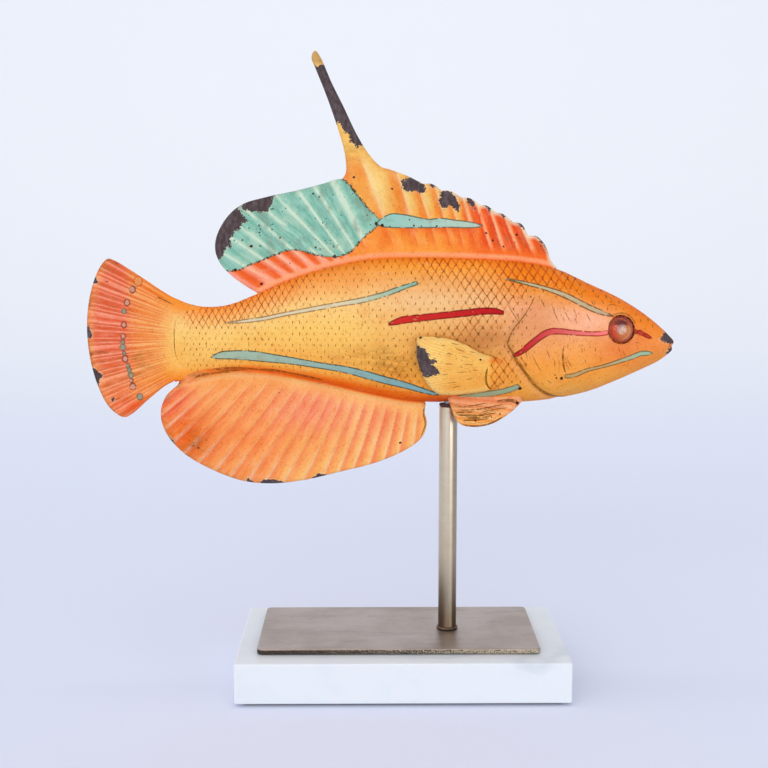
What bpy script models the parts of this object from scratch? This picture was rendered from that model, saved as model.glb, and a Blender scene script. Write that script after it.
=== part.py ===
"""Painted fish sculpture that swivels on a brass rod, over a brass plate and a marble slab.

Metres, +Z up. The origin is the centre of the pad under the slab, at the height of the table.
The fish faces +X. Its outlines are in millimetres: x ahead of the swivel axis, z above the table.
"""

from math import cos, pi, radians, sin

import bmesh
import bpy
from mathutils import Matrix, Vector

MM = 0.001
GAP = 0.3  # kept between pieces that touch, in mm like every size below

# Stand
SLAB_LENGTH, SLAB_WIDTH, SLAB_THICK = 152.0, 89.0, 18.7
PAD_INSET, PAD_THICK = 3.0, 1.0
PLATE_LENGTH, PLATE_WIDTH, PLATE_THICK = 129.8, 67.7, 2.5
PLATE_SHIFT = (-1.7, 1.7)  # how far the plate sits off the slab's centre
PLATE_CORNER = 2.5
ROD_X = 22.0  # the rod and the swivel axis, ahead of the slab's centre
ROD_RADIUS = 4.3
ROD_TOP = 130.4
COLLAR_RADIUS, COLLAR_THICK = 5.4, 1.3

# Fasteners and swivel
SCREW_RADIUS, SCREW_HEAD_RADIUS, SCREW_HEAD = 2.4, 4.6, 2.8
SCREW_GRIP = 13.0  # how deep the screw reaches into the rod
WASHER_RADIUS, WASHER_THICK = 6.0, 1.0
COUNTERBORE_RADIUS, COUNTERBORE_DEPTH = 7.0, 7.0
PIN_RADIUS, PIN_SEAT = 2.2, 12.0
SLEEVE_RADIUS, SLEEVE_BOTTOM, SLEEVE_TOP, SLEEVE_END = 4.0, 133.4, 158.0, 2.0

# Fish
FIN_THICK = 2.6
FIN_ROOT = 5.0  # how deep a fin's tenon reaches into the body
BODY_STEP = 5.0
BODY_SIDES = 36
ROUNDNESS = 2.15  # 2 is an ellipse, more is boxier
EYE_PLACE = (78.5, 167.3)
EYE_RADIUS, EYE_RIM, EYE_DOME = 6.2, 2.2, 3.4
EYE_DISC_THICK, EYE_SOCKET_DEPTH = 0.8, 4.0
EYE_TURN, EYE_TILT = 11.0, 9.0  # degrees that an eye looks forwards and up

# The body at stations from snout to tail: x, top, bottom, half width.
STATIONS = [
    (105.0, 161.2, 156.2, 1.4),
    (103.0, 163.3, 154.4, 3.2),
    (100.0, 166.3, 152.5, 5.2),
    (95.0, 170.6, 149.8, 7.4),
    (88.0, 175.7, 146.6, 9.9),
    (78.0, 181.6, 142.2, 12.5),
    (65.0, 187.6, 137.2, 14.8),
    (50.0, 194.4, 134.0, 16.4),
    (35.0, 197.6, 132.4, 17.2),
    (18.0, 198.9, 132.0, 17.3),
    (0.0, 199.6, 132.2, 16.8),
    (-18.0, 199.8, 132.8, 15.8),
    (-35.0, 199.2, 135.9, 14.5),
    (-55.0, 195.6, 140.6, 12.6),
    (-75.0, 189.4, 144.6, 10.0),
    (-90.0, 182.6, 146.9, 7.8),
    (-102.0, 178.0, 147.0, 6.1),
    (-112.0, 176.9, 145.4, 4.9),
    (-120.0, 178.1, 143.3, 4.0),
    (-128.0, 181.3, 141.8, 3.0),
]
CROWN = 0.52  # how far up a section its widest point lies

# Free edges of the fins, each a chain of smooth runs that meet at corners.
DORSAL_EDGE = [
    [(-88.5, 183.0), (-95, 187), (-101, 191.5), (-106, 197), (-108.3, 203.5), (-107, 211),
     (-102, 219), (-95, 224.4), (-84, 227.6), (-70, 230.6), (-59, 233.4), (-53, 235.3), (-49.3, 235.8)],
    [(-49.3, 235.8), (-47.6, 239.5), (-48.3, 247.5), (-51, 257.5), (-56, 272), (-61, 284.5),
     (-63.2, 290.2), (-61.6, 293.4), (-58.8, 290), (-54, 279), (-48.5, 268), (-43, 256.5),
     (-37.5, 247.5), (-32, 241.6), (-27, 239.9), (-19, 236.9), (-12.2, 233.5)],
    [(-12.2, 233.5), (-8, 233.4), (-3.6, 230.4)],
    [(-3.6, 230.4), (0.5, 230.2), (5.5, 227.3)],
    [(5.5, 227.3), (9.5, 226.9), (14, 223.9)],
    [(14, 223.9), (17.5, 223.4), (21.5, 220.4)],
    [(21.5, 220.4), (25, 219.6), (29.5, 216)],
    [(29.5, 216), (33.5, 215), (36.5, 209.8)],
    [(36.5, 209.8), (40.8, 209.3), (44.8, 204.8), (47.2, 198.6), (50, 194.8)],
]
ANAL_EDGE = [
    [(-10.6, 131.4), (-11, 127), (-10, 122), (-12.6, 115), (-21, 108.8), (-35, 103), (-52, 98.7),
     (-68, 95), (-84, 93.4), (-98, 95), (-112, 100.4), (-124, 107.6), (-132, 116.6), (-135, 126),
     (-132.6, 134.6), (-126.6, 140.6)],
]
TAIL_EDGE = [
    [(-127.6, 181.0), (-134, 184.9), (-142, 190.4), (-149, 195), (-155, 198.5), (-158.8, 198.8),
     (-163, 193), (-166.3, 183.5), (-168.1, 173), (-168.3, 162), (-167, 151), (-164, 140),
     (-159.5, 130.6), (-153, 125.3), (-148, 127), (-140, 134), (-133, 139.6), (-127.6, 142.6)],
]
PELVIC_EDGE = [
    [(-1.0, 135.5), (0.4, 131.5), (1.9, 127.4), (4.4, 123.4), (8.5, 121.8), (14.5, 121.8), (21, 123.6),
     (27.5, 127.6), (33, 131.6), (36, 134.5)],
]
PELVIC_OUT, PELVIC_SPLAY = 8.0, 12.0  # mm from the middle at the root, and degrees outwards
PELVIC_THICK, PELVIC_ROOT = 2.0, 4.5

# Upper and lower edge of a pectoral fin from its base to its rear tip: x, upper z, lower z.
PECTORAL = [
    (25.4, 150.6, 148.2), (23.5, 153.4, 142.4), (19.5, 155.4, 139.6), (13.5, 157.3, 138.0),
    (7.5, 160.6, 137.2), (0.5, 163.4, 136.6), (-5.0, 164.6, 137.4), (-9.0, 164.8, 141.2),
    (-12.0, 164.7, 147.2), (-14.2, 163.9, 154.6),
]
PECTORAL_THICK, PECTORAL_LIFT = 1.6, 2.2

# Colours: red, green, blue, roughness, metallic
FINISHES = {
    "marble": (0.83, 0.83, 0.85, 0.25, 0.0),
    "pad_felt": (0.10, 0.09, 0.08, 0.95, 0.0),
    "aged_brass": (0.46, 0.38, 0.27, 0.38, 1.0),
    "satin_brass": (0.66, 0.58, 0.42, 0.30, 1.0),
    "steel": (0.55, 0.55, 0.57, 0.35, 1.0),
    "body_paint": (0.90, 0.52, 0.18, 0.50, 0.0),
    "fin_paint": (0.90, 0.36, 0.20, 0.50, 0.0),
    "pectoral_paint": (0.90, 0.62, 0.22, 0.50, 0.0),
    "eye_glass": (0.75, 0.30, 0.08, 0.05, 0.0),
    "eye_copper": (0.60, 0.22, 0.08, 0.40, 0.6),
}


def clear_scene():
    for old in list(bpy.data.objects):
        bpy.data.objects.remove(old, do_unlink=True)


def new_collection(name):
    collection = bpy.data.collections.new(name)
    bpy.context.scene.collection.children.link(collection)
    return collection


def material(name):
    """The named finish as a Principled material, made once."""
    if name in bpy.data.materials:
        return bpy.data.materials[name]
    red, green, blue, rough, metal = FINISHES[name]
    made = bpy.data.materials.new(name)
    made.use_nodes = True
    shader = made.node_tree.nodes["Principled BSDF"]
    shader.inputs["Base Color"].default_value = (red, green, blue, 1.0)
    shader.inputs["Roughness"].default_value = rough
    shader.inputs["Metallic"].default_value = metal
    return made


def place(mesh, name, finish=None, parent=None, location=(0, 0, 0), rotation=(0, 0, 0)):
    """An object of this mesh; without a finish it is a cutter."""
    thing = bpy.data.objects.new(name, mesh)
    thing.location = Vector(location) * MM
    thing.rotation_euler = rotation
    thing.parent = parent
    if finish:
        mesh.materials.clear()
        mesh.materials.append(material(finish))
        PARTS.objects.link(thing)
    else:
        thing.hide_render = True
        thing.display_type = "WIRE"
        CUTTERS.objects.link(thing)
    return thing


def smooth_run(points, step):
    """Points about `step` apart on a Catmull-Rom curve through the given ones, without its end."""
    points = [Vector(point) for point in points]
    ends = [2 * points[0] - points[1]] + points + [2 * points[-1] - points[-2]]
    run = []
    for before, start, end, after in zip(ends, ends[1:], ends[2:], ends[3:]):
        count = max(1, round((end - start).length / step))
        for index in range(count):
            t = index / count
            run.append(
                0.5 * (2 * start + t * (end - before) + t * t * (2 * before - 5 * start + 4 * end - after)
                       + t ** 3 * (3 * start - before - 3 * end + after))
            )
    return run


def body_section(x):
    """Top, bottom and half width of the body at x."""
    for ahead, behind in zip(STATIONS, STATIONS[1:]):
        if behind[0] <= x <= ahead[0]:
            index = STATIONS.index(ahead)
            outer = STATIONS[max(index - 1, 0)], STATIONS[min(index + 2, len(STATIONS) - 1)]
            t = (ahead[0] - x) / (ahead[0] - behind[0])
            return [hermite(t, outer[0], ahead, behind, outer[1], key) for key in (1, 2, 3)]
    raise ValueError(x)


def hermite(t, before, start, end, after, key):
    """The value between two stations, on a cubic whose slopes come from the stations around them."""
    span = end[0] - start[0]
    slope_start = (end[key] - before[key]) / (end[0] - before[0]) * span
    slope_end = (after[key] - start[key]) / (after[0] - start[0]) * span
    return (
        (2 * t ** 3 - 3 * t ** 2 + 1) * start[key] + (t ** 3 - 2 * t ** 2 + t) * slope_start
        + (3 * t ** 2 - 2 * t ** 3) * end[key] + (t ** 3 - t ** 2) * slope_end
    )


def flank(x, z):
    """Half width of the body at x and height z."""
    top, bottom, half = body_section(x)
    middle = bottom + CROWN * (top - bottom)
    reach = (top - middle) if z > middle else (middle - bottom)
    return half * max(0.0, 1 - (abs(z - middle) / reach) ** ROUNDNESS) ** (1 / ROUNDNESS)


def body_ring(x):
    """Points round the body at x."""
    top, bottom, half = body_section(x)
    middle = bottom + CROWN * (top - bottom)
    ring = []
    for index in range(BODY_SIDES):
        angle = 2 * pi * index / BODY_SIDES
        across, up = cos(angle), sin(angle)
        power = 2 / ROUNDNESS
        reach = (top - middle) if up > 0 else (middle - bottom)
        y = half * abs(across) ** power * (1 if across > 0 else -1)
        z = middle + reach * abs(up) ** power * (1 if up > 0 else -1)
        ring.append(Vector((x, y, z)) * MM)
    return ring


def loft(name, rings):
    """A closed mesh through rings of points, each with the same number of them."""
    shape = bmesh.new()
    loops = [[shape.verts.new(point) for point in ring] for ring in rings]
    for one, other in zip(loops, loops[1:]):
        for index in range(len(one)):
            after = (index + 1) % len(one)
            shape.faces.new((one[index], one[after], other[after], other[index]))
    shape.faces.new(loops[0])
    shape.faces.new(loops[-1])
    bmesh.ops.recalc_face_normals(shape, faces=shape.faces)
    return finished(shape, name)


def finished(shape, name):
    mesh = bpy.data.meshes.new(name)
    shape.to_mesh(mesh)
    shape.free()
    mesh.shade_smooth()
    mesh.set_sharp_from_angle(angle=radians(35))
    return mesh


def sheet(name, outline, thick):
    """A flat piece in the XZ plane from a closed outline, as a welded mesh."""
    curve = bpy.data.curves.new(name, "CURVE")
    curve.dimensions = "2D"
    curve.fill_mode = "BOTH"
    curve.extrude = thick / 2 * MM
    spline = curve.splines.new("POLY")
    spline.points.add(len(outline) - 1)
    for point, (x, z) in zip(spline.points, outline):
        point.co = (x * MM, z * MM, 0, 1)
    spline.use_cyclic_u = True
    guide = bpy.data.objects.new(name + "_curve", curve)
    bpy.context.scene.collection.objects.link(guide)
    graph = bpy.context.evaluated_depsgraph_get()
    flat = bpy.data.meshes.new_from_object(guide.evaluated_get(graph))
    bpy.data.objects.remove(guide, do_unlink=True)
    shape = bmesh.new()
    shape.from_mesh(flat)
    bmesh.ops.remove_doubles(shape, verts=shape.verts, dist=0.001 * MM)
    bmesh.ops.recalc_face_normals(shape, faces=shape.faces)
    bmesh.ops.rotate(shape, verts=shape.verts, matrix=Matrix.Rotation(pi / 2, 3, "X"))
    return finished(shape, name)


def grown(outline, by):
    """The closed outline moved outwards."""
    area = sum(a.cross(b) for a, b in zip(outline, outline[1:] + outline[:1]))
    side = 1 if area > 0 else -1
    moved = []
    for before, here, after in zip(outline[-1:] + outline[:-1], outline, outline[1:] + outline[:1]):
        one, other = (here - before).normalized(), (after - here).normalized()
        normal = Vector((one.y + other.y, -one.x - other.x)).normalized()
        reach = by / max(0.5, normal.dot(Vector((one.y, -one.x))))
        moved.append(here + side * reach * normal)
    return moved


def fin_outline(edges, root, step):
    """A free edge of smooth runs, closed by the root line inside the body."""
    outline = [point for run in edges for point in smooth_run(run, step)]
    outline.append(Vector(edges[-1][-1]))
    return outline + [Vector(point) for point in root]


def root_line(first, last, side, depth):
    """Points along the back (side 0) or the belly (side 1), deepest halfway between first and last."""
    count = 16
    line = []
    for index in range(1, count):
        x = first + (last - first) * index / count
        bury = 0.4 + (depth - 0.4) * min(1.0, 4 * sin(pi * index / count) ** 2)
        edge = body_section(x)[side]
        line.append((x, edge - bury if side == 0 else edge + bury))
    return line


def turned(name, profile, segments, finish=None, **where):
    """A turned piece from a profile (radius, height) that runs down its outer side."""
    shape = bmesh.new()
    verts = [shape.verts.new(Vector((radius, 0, height)) * MM) for radius, height in profile]
    for one, other in zip(verts, verts[1:]):
        shape.edges.new((one, other))
    mesh = bpy.data.meshes.new(name)
    shape.to_mesh(mesh)
    shape.free()
    thing = place(mesh, name, finish, **where)
    screw = thing.modifiers.new("turn", "SCREW")
    screw.steps = screw.render_steps = segments
    screw.use_merge_vertices = True
    screw.merge_threshold = 0.00001
    screw.use_smooth_shade = False
    return thing


def disc(radius, bottom, top):
    """Profile of a plain cylinder."""
    return [(0, top), (radius, top), (radius, bottom), (0, bottom)]


def ring_profile(outer, inner, bottom, top):
    """Profile of a washer or a tube, closed on itself."""
    return [(inner, top), (outer, top), (outer, bottom), (inner, bottom), (inner, top)]


def block(name, size, centre, finish, rim=0.0, corner=0.0):
    """A box with rounded upright corners and rounded rims."""
    shape = bmesh.new()
    bmesh.ops.create_cube(shape, size=MM)
    bmesh.ops.scale(shape, vec=size, verts=shape.verts)
    if corner:
        upright = [edge for edge in shape.edges if abs(edge.verts[0].co.z - edge.verts[1].co.z) > 0]
        bmesh.ops.bevel(shape, geom=upright, offset=corner * MM, segments=5, profile=0.5, affect="EDGES")
    thing = place(finished(shape, name), name, finish, location=centre)
    if rim:
        bevel = thing.modifiers.new("rim", "BEVEL")
        bevel.width = rim * MM
        bevel.segments = 2
        bevel.limit_method = "ANGLE"
        bevel.angle_limit = radians(40)
    return thing


def cut(thing, *cutters):
    for cutter in cutters:
        boolean = thing.modifiers.new(cutter.name, "BOOLEAN")
        boolean.object = cutter
        boolean.solver = "EXACT"


def build_base():
    """Pad, slab and plate, and the screw and washer that hold the rod to them."""
    pad_size = (SLAB_LENGTH - 2 * PAD_INSET, SLAB_WIDTH - 2 * PAD_INSET, PAD_THICK)
    block("underside_pad", pad_size, (0, 0, PAD_THICK / 2), "pad_felt", corner=PAD_INSET)

    slab_bottom = PAD_THICK + GAP
    slab_top = slab_bottom + SLAB_THICK
    slab = block("marble_slab", (SLAB_LENGTH, SLAB_WIDTH, SLAB_THICK),
                 (0, 0, slab_bottom + SLAB_THICK / 2), "marble", rim=0.7)
    hole = SCREW_RADIUS + 2 * GAP
    counterbore_top = slab_bottom + COUNTERBORE_DEPTH
    slab_bore = turned("slab_bore", [
        (0, slab_top + 1), (hole, slab_top + 1), (hole, counterbore_top),
        (COUNTERBORE_RADIUS, counterbore_top), (COUNTERBORE_RADIUS, slab_bottom - 1), (0, slab_bottom - 1),
    ], 32, location=(ROD_X, 0, 0))
    cut(slab, slab_bore)

    plate_bottom = slab_top + GAP
    plate_top = plate_bottom + PLATE_THICK
    plate = block("base_plate", (PLATE_LENGTH, PLATE_WIDTH, PLATE_THICK),
                  (*PLATE_SHIFT, plate_bottom + PLATE_THICK / 2), "aged_brass", rim=0.5, corner=PLATE_CORNER)
    plate_bore = turned("plate_bore", disc(hole, plate_bottom - 1, plate_top + 1), 32, location=(ROD_X, 0, 0))
    cut(plate, plate_bore)

    washer_top = counterbore_top - GAP
    washer_bottom = washer_top - WASHER_THICK
    turned("base_washer", ring_profile(WASHER_RADIUS, SCREW_RADIUS + GAP, washer_bottom, washer_top), 32,
           "steel", location=(ROD_X, 0, 0))
    head_top = washer_bottom - GAP
    head_bottom = head_top - SCREW_HEAD
    socket, socket_depth = 1.5, 1.6
    turned("base_screw", [
        (0, plate_top + SCREW_GRIP), (SCREW_RADIUS, plate_top + SCREW_GRIP), (SCREW_RADIUS, head_top),
        (SCREW_HEAD_RADIUS, head_top), (SCREW_HEAD_RADIUS, head_bottom), (socket, head_bottom),
        (socket, head_bottom + socket_depth), (0, head_bottom + socket_depth),
    ], 24, "steel", location=(ROD_X, 0, 0))
    return plate_top


def build_rod(plate_top):
    """The rod with a bore in each end, the collar round its foot and the pin in its top."""
    foot = plate_top + GAP
    screw_bore = SCREW_RADIUS + GAP
    pin_bore = PIN_RADIUS + GAP
    rim = 0.4
    turned("support_rod", [
        (0, ROD_TOP - PIN_SEAT), (pin_bore, ROD_TOP - PIN_SEAT), (pin_bore, ROD_TOP),
        (ROD_RADIUS - rim, ROD_TOP), (ROD_RADIUS, ROD_TOP - rim), (ROD_RADIUS, foot),
        (screw_bore, foot), (screw_bore, foot + SCREW_GRIP + GAP), (0, foot + SCREW_GRIP + GAP),
    ], 40, "satin_brass", location=(ROD_X, 0, 0))
    inner = ROD_RADIUS + GAP
    turned("foot_collar", [
        (inner, foot + COLLAR_THICK), (COLLAR_RADIUS - rim, foot + COLLAR_THICK),
        (COLLAR_RADIUS, foot + COLLAR_THICK - rim), (COLLAR_RADIUS, foot), (inner, foot),
        (inner, foot + COLLAR_THICK),
    ], 40, "aged_brass", location=(ROD_X, 0, 0))
    pin_bottom = ROD_TOP - PIN_SEAT + GAP
    turned("mount_pin", disc(PIN_RADIUS, pin_bottom, SLEEVE_TOP - SLEEVE_END - GAP), 24, "steel",
           location=(ROD_X, 0, 0))


def build_sleeve(swivel):
    """The blind sleeve in the belly that turns on the pin."""
    bore = PIN_RADIUS + GAP
    floor = SLEEVE_TOP - SLEEVE_END
    turned("belly_sleeve", [
        (0, SLEEVE_TOP), (SLEEVE_RADIUS, SLEEVE_TOP), (SLEEVE_RADIUS, SLEEVE_BOTTOM),
        (bore, SLEEVE_BOTTOM), (bore, floor), (0, floor),
    ], 32, "satin_brass", parent=swivel)
    return turned("sleeve_bore", disc(SLEEVE_RADIUS + GAP, SLEEVE_BOTTOM - 6, SLEEVE_TOP + GAP), 32,
                  parent=swivel)


def build_fin(name, outline, finish, swivel, thick=FIN_THICK, **where):
    """A flat fin, and the slot that its root needs."""
    place(sheet(name, outline, thick), name, finish, parent=swivel, **where)
    slot = sheet(name + "_slot", grown(outline, GAP), thick + 2 * GAP)
    return place(slot, name + "_slot", parent=swivel, **where)


def build_middle_fins(swivel):
    dorsal = fin_outline(DORSAL_EDGE, root_line(49.0, -86.0, 0, FIN_ROOT), 3.0)
    anal = fin_outline(ANAL_EDGE, root_line(-124.0, -12.0, 1, FIN_ROOT), 3.5)
    shoulder, tenon_top, tenon_bottom, tenon_end = -128.0 - GAP, 173.0, 150.0, -118.0
    tail_root = [(shoulder, 142.6), (shoulder, tenon_bottom), (tenon_end, tenon_bottom),
                 (tenon_end, tenon_top), (shoulder, tenon_top), (shoulder, 181.0)]
    tail = [point for point in fin_outline(TAIL_EDGE, [], 3.0) if point.x < shoulder]
    tail += [Vector(point) for point in tail_root]
    return [
        build_fin("dorsal_fin", dorsal, "fin_paint", swivel),
        build_fin("anal_fin", anal, "fin_paint", swivel),
        build_fin("tail_fin", tail, "fin_paint", swivel),
    ]


def build_pelvic_fin(side, hand, swivel):
    """One belly fin, let into the belly beside the rod and splayed outwards."""
    root_z = 134.0
    root = [(34.0, root_z + PELVIC_ROOT + 3), (1.5, root_z + PELVIC_ROOT + 3)]
    outline = [Vector((x, z - root_z)) for x, z in fin_outline(PELVIC_EDGE, root, 3.0)]
    return build_fin("pelvic_fin_" + side, outline, "fin_paint", swivel, PELVIC_THICK,
                     location=(0, hand * PELVIC_OUT, root_z), rotation=(hand * radians(PELVIC_SPLAY), 0, 0))


def build_pectoral_fin(side, hand, swivel):
    """One breast fin: a leaf that follows the flank and lifts off it towards its rear tip."""
    rows = 8
    rings = []
    base_x, tip_x = PECTORAL[0][0], PECTORAL[-1][0]
    for x, upper, lower in [tuple(point) for point in smooth_run(PECTORAL, 3.0)] + [PECTORAL[-1]]:
        lift = PECTORAL_LIFT * ((base_x - x) / (base_x - tip_x)) ** 2
        heights = [lower + (upper - lower) * index / rows for index in range(rows + 1)]
        inner = [Vector((x, hand * (flank(x, z) + 2 * GAP + lift), z)) * MM for z in heights]
        outer = [point + Vector((0, hand * PECTORAL_THICK * MM, 0)) for point in inner]
        rings.append(inner + outer[::-1])
    name = "pectoral_fin_" + side
    place(loft(name, rings), name, "pectoral_paint", parent=swivel)


def build_eye(side, hand, swivel):
    """A copper disc and a glass dome in a round socket; gives the socket's cutter."""
    x, z = EYE_PLACE
    turn, tilt = radians(EYE_TURN), radians(EYE_TILT)
    outwards = Vector((sin(turn) * cos(tilt), hand * cos(turn) * cos(tilt), sin(tilt)))
    floor = Vector((x, hand * flank(x, z), z)) - EYE_SOCKET_DEPTH * outwards
    where = {"parent": swivel, "location": floor, "rotation": outwards.to_track_quat("Z", "Y").to_euler()}
    turned("eye_disc_" + side, disc(EYE_RADIUS, GAP, GAP + EYE_DISC_THICK), 32, "eye_copper", **where)
    base = 2 * GAP + EYE_DISC_THICK
    sphere = (EYE_RADIUS ** 2 + EYE_DOME ** 2) / (2 * EYE_DOME)
    dome, arcs = [], 6
    for index in range(arcs + 1):
        radius = EYE_RADIUS * sin(pi / 2 * index / arcs)
        rise = (sphere ** 2 - radius ** 2) ** 0.5 - (sphere - EYE_DOME)
        dome.append((radius, base + EYE_RIM + rise))
    turned("eye_glass_" + side, dome + [(EYE_RADIUS, base), (0, base)], 32, "eye_glass", **where)
    return turned("eye_socket_" + side, disc(EYE_RADIUS + GAP, 0, 4 * EYE_SOCKET_DEPTH), 32, **where)


def build_mouth(swivel):
    """The wedge that parts the lips."""
    notch = [Vector(point) for point in ((102.0, 158.5), (107.0, 160.6), (107.0, 156.9))]
    return place(sheet("mouth_notch", notch, 20.0), "mouth_notch", parent=swivel)


def build_fish(swivel):
    start, end = STATIONS[0][0], STATIONS[-1][0]
    snout = [start, start - 1.0, start - 2.5]
    count = round((start - 5.0 - end) / BODY_STEP)
    along = snout + [start - 5.0 - (start - 5.0 - end) * index / count for index in range(count + 1)]
    body = place(loft("fish_body", [body_ring(x) for x in along]), "fish_body", "body_paint", parent=swivel)
    cutters = build_middle_fins(swivel) + [build_sleeve(swivel), build_mouth(swivel)]
    for side, hand in (("right", -1), ("left", 1)):
        cutters.append(build_pelvic_fin(side, hand, swivel))
        cutters.append(build_eye(side, hand, swivel))
        build_pectoral_fin(side, hand, swivel)
    cut(body, *cutters)


clear_scene()
PARTS = new_collection("fish_sculpture")
CUTTERS = new_collection("cutters")
swivel_axis = bpy.data.objects.new("swivel_axis", None)
swivel_axis.location = Vector((ROD_X, 0, 0)) * MM
PARTS.objects.link(swivel_axis)
build_rod(build_base())
build_fish(swivel_axis)
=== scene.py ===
"""Painted fish sculpture on a brass rod and a marble slab: its finer skin, fins and eyes, and all its materials.

Outlines are in millimetres in the fish's own frame, as in the CAD source: x ahead of the swivel axis,
y towards the fish's left, z above the table. Both flanks are painted alike. Each piece of the fish carries
its paint as fields on its points (ground colour, stripes, strokes, dirt with painted shade, chips), which the materials
break up.
"""

from math import cos, pi, radians, sin

import bpy
import numpy as np
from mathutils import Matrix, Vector
from mathutils.geometry import delaunay_2d_cdt


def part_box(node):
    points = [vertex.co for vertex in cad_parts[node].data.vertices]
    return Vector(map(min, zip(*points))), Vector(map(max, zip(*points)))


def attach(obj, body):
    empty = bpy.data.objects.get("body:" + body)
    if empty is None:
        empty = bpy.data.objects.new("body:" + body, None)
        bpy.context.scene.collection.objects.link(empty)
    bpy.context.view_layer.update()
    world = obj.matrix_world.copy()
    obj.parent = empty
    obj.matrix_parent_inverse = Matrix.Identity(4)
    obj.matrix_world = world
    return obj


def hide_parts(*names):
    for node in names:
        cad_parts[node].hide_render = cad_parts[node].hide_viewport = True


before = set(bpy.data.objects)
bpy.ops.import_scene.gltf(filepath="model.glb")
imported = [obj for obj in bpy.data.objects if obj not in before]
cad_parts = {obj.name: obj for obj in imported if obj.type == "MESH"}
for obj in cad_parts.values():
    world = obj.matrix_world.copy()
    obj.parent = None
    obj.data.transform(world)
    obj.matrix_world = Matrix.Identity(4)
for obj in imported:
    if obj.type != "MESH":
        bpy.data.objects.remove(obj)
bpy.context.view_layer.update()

MM = 0.001
FAR = 99.0
SIDES = (("right", -1), ("left", 1))
ROD_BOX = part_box("support_rod")
AXIS_X = (ROD_BOX[0].x + ROD_BOX[1].x) / 2 / MM  # the swivel axis in the row frame, in mm
ROD_RADIUS = (ROD_BOX[1].x - ROD_BOX[0].x) / 2 / MM

# ---------------------------------------------------------------- camera, light and floor

CAMERA_PLACE = (-0.01476, -0.63786, 0.22079)
CAMERA_TURN = (radians(82.84), 0.0, radians(-0.588))
CAMERA_LENS, CAMERA_SENSOR, CAMERA_NEAR, CAMERA_FAR = 64.3, 36.0, 0.01, 20.0
VIEW_FROM = Vector((CAMERA_PLACE[0] / MM - AXIS_X, CAMERA_PLACE[1] / MM, CAMERA_PLACE[2] / MM))
SKY_COLOUR = (0.95, 0.965, 1.0, 1)
SKY_FALL = (-0.80, -0.10, -0.30)  # the sky is brightest this way
SKY_DIM, SKY_BRIGHT = 0.475, 1.14
SOFT_BOXES = (  # name, place, target, width and height in m, watts, colour
    ("front_box", (-0.55, -1.5, 0.62), (0, 0, 0.14), (1.3, 0.96), 6.7, (1, 0.99, 0.97)),
    ("rim_strip", (0.66, -0.78, 0.16), (0, 0, 0.10), (0.46, 0.34), 1.7, (1, 0.96, 0.88)),
    ("wall_box", (0, 0.2, 1.6), (0, 1.8, 0.7), (2.4, 0.6), 6.0, (0.97, 0.99, 1)),
)
FLOOR_HALF, FLOOR_NEAR, FLOOR_BEND = 14.0, -14.0, 0.9  # the sweep's half width, front edge and start of its bend
BEND_RADIUS, BEND_STEPS, WALL_TOP = 0.9, 24, 3.2


def build_camera():
    data = bpy.data.cameras.new("camera")
    data.lens, data.sensor_width = CAMERA_LENS, CAMERA_SENSOR
    data.clip_start, data.clip_end = CAMERA_NEAR, CAMERA_FAR
    camera = bpy.data.objects.new("camera", data)
    camera.location, camera.rotation_euler = CAMERA_PLACE, CAMERA_TURN
    bpy.context.scene.collection.objects.link(camera)
    bpy.context.scene.camera = camera


def area_light(name, place, target, size, power, colour):
    """A rectangular soft box turned to its target."""
    data = bpy.data.lights.new(name, "AREA")
    data.shape = "RECTANGLE"
    data.size, data.size_y = size
    data.energy, data.color = power, colour
    lamp = bpy.data.objects.new(name, data)
    lamp.location = place
    lamp.rotation_euler = (Vector(target) - Vector(place)).to_track_quat("-Z", "Y").to_euler()
    bpy.context.scene.collection.objects.link(lamp)


def build_studio():
    """A pale seamless sweep, a soft sky that is dimmer overhead and to the right, and soft boxes."""
    world = bpy.data.worlds.new("studio")
    world.use_nodes = True
    tree = world.node_tree
    sky = tree.nodes["Background"]
    sky.inputs["Color"].default_value = SKY_COLOUR
    towards = tree.nodes.new("ShaderNodeVectorMath")
    towards.operation = "DOT_PRODUCT"
    tree.links.new(tree.nodes.new("ShaderNodeTexCoord").outputs["Generated"], towards.inputs[0])
    towards.inputs[1].default_value = SKY_FALL
    fall = tree.nodes.new("ShaderNodeMapRange")
    tree.links.new(towards.outputs["Value"], fall.inputs["Value"])
    for key, value in (("From Min", -1), ("From Max", 1), ("To Min", SKY_DIM), ("To Max", SKY_BRIGHT)):
        fall.inputs[key].default_value = value
    tree.links.new(fall.outputs["Result"], sky.inputs["Strength"])
    bpy.context.scene.world = world
    bpy.context.scene.view_settings.view_transform = "Standard"
    for box in SOFT_BOXES:
        area_light(*box)

    run = [(FLOOR_NEAR, 0.0), (FLOOR_BEND, 0.0)]
    for step in range(1, BEND_STEPS + 1):
        turn = pi / 2 * step / BEND_STEPS
        run.append((FLOOR_BEND + BEND_RADIUS * sin(turn), BEND_RADIUS - BEND_RADIUS * cos(turn)))
    run.append((FLOOR_BEND + BEND_RADIUS, WALL_TOP))
    verts = [(x, y, z) for y, z in run for x in (-FLOOR_HALF, FLOOR_HALF)]
    faces = [(2 * i, 2 * i + 1, 2 * i + 3, 2 * i + 2) for i in range(len(run) - 1)]
    mesh = bpy.data.meshes.new("sweep")
    mesh.from_pydata(verts, [], faces)
    mesh.shade_smooth()
    sweep = bpy.data.objects.new("sweep", mesh)
    bpy.context.scene.collection.objects.link(sweep)
    g = Graph("sweep_paper")
    across = g.node("ShaderNodeSeparateXYZ")
    g.set(across.inputs[0], g.place)
    # the wall is painted paler than the floor, as painted light for a brighter backdrop
    up_wall = Val(g, across.outputs[1]).step(200, 1700)
    g.finish(g.mix(up_wall, linear(230, 234, 251), linear(246, 248, 252)), 0.9, specular=0.1)
    mesh.materials.append(g.material)


# ---------------------------------------------------------------- shader nodes


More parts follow.
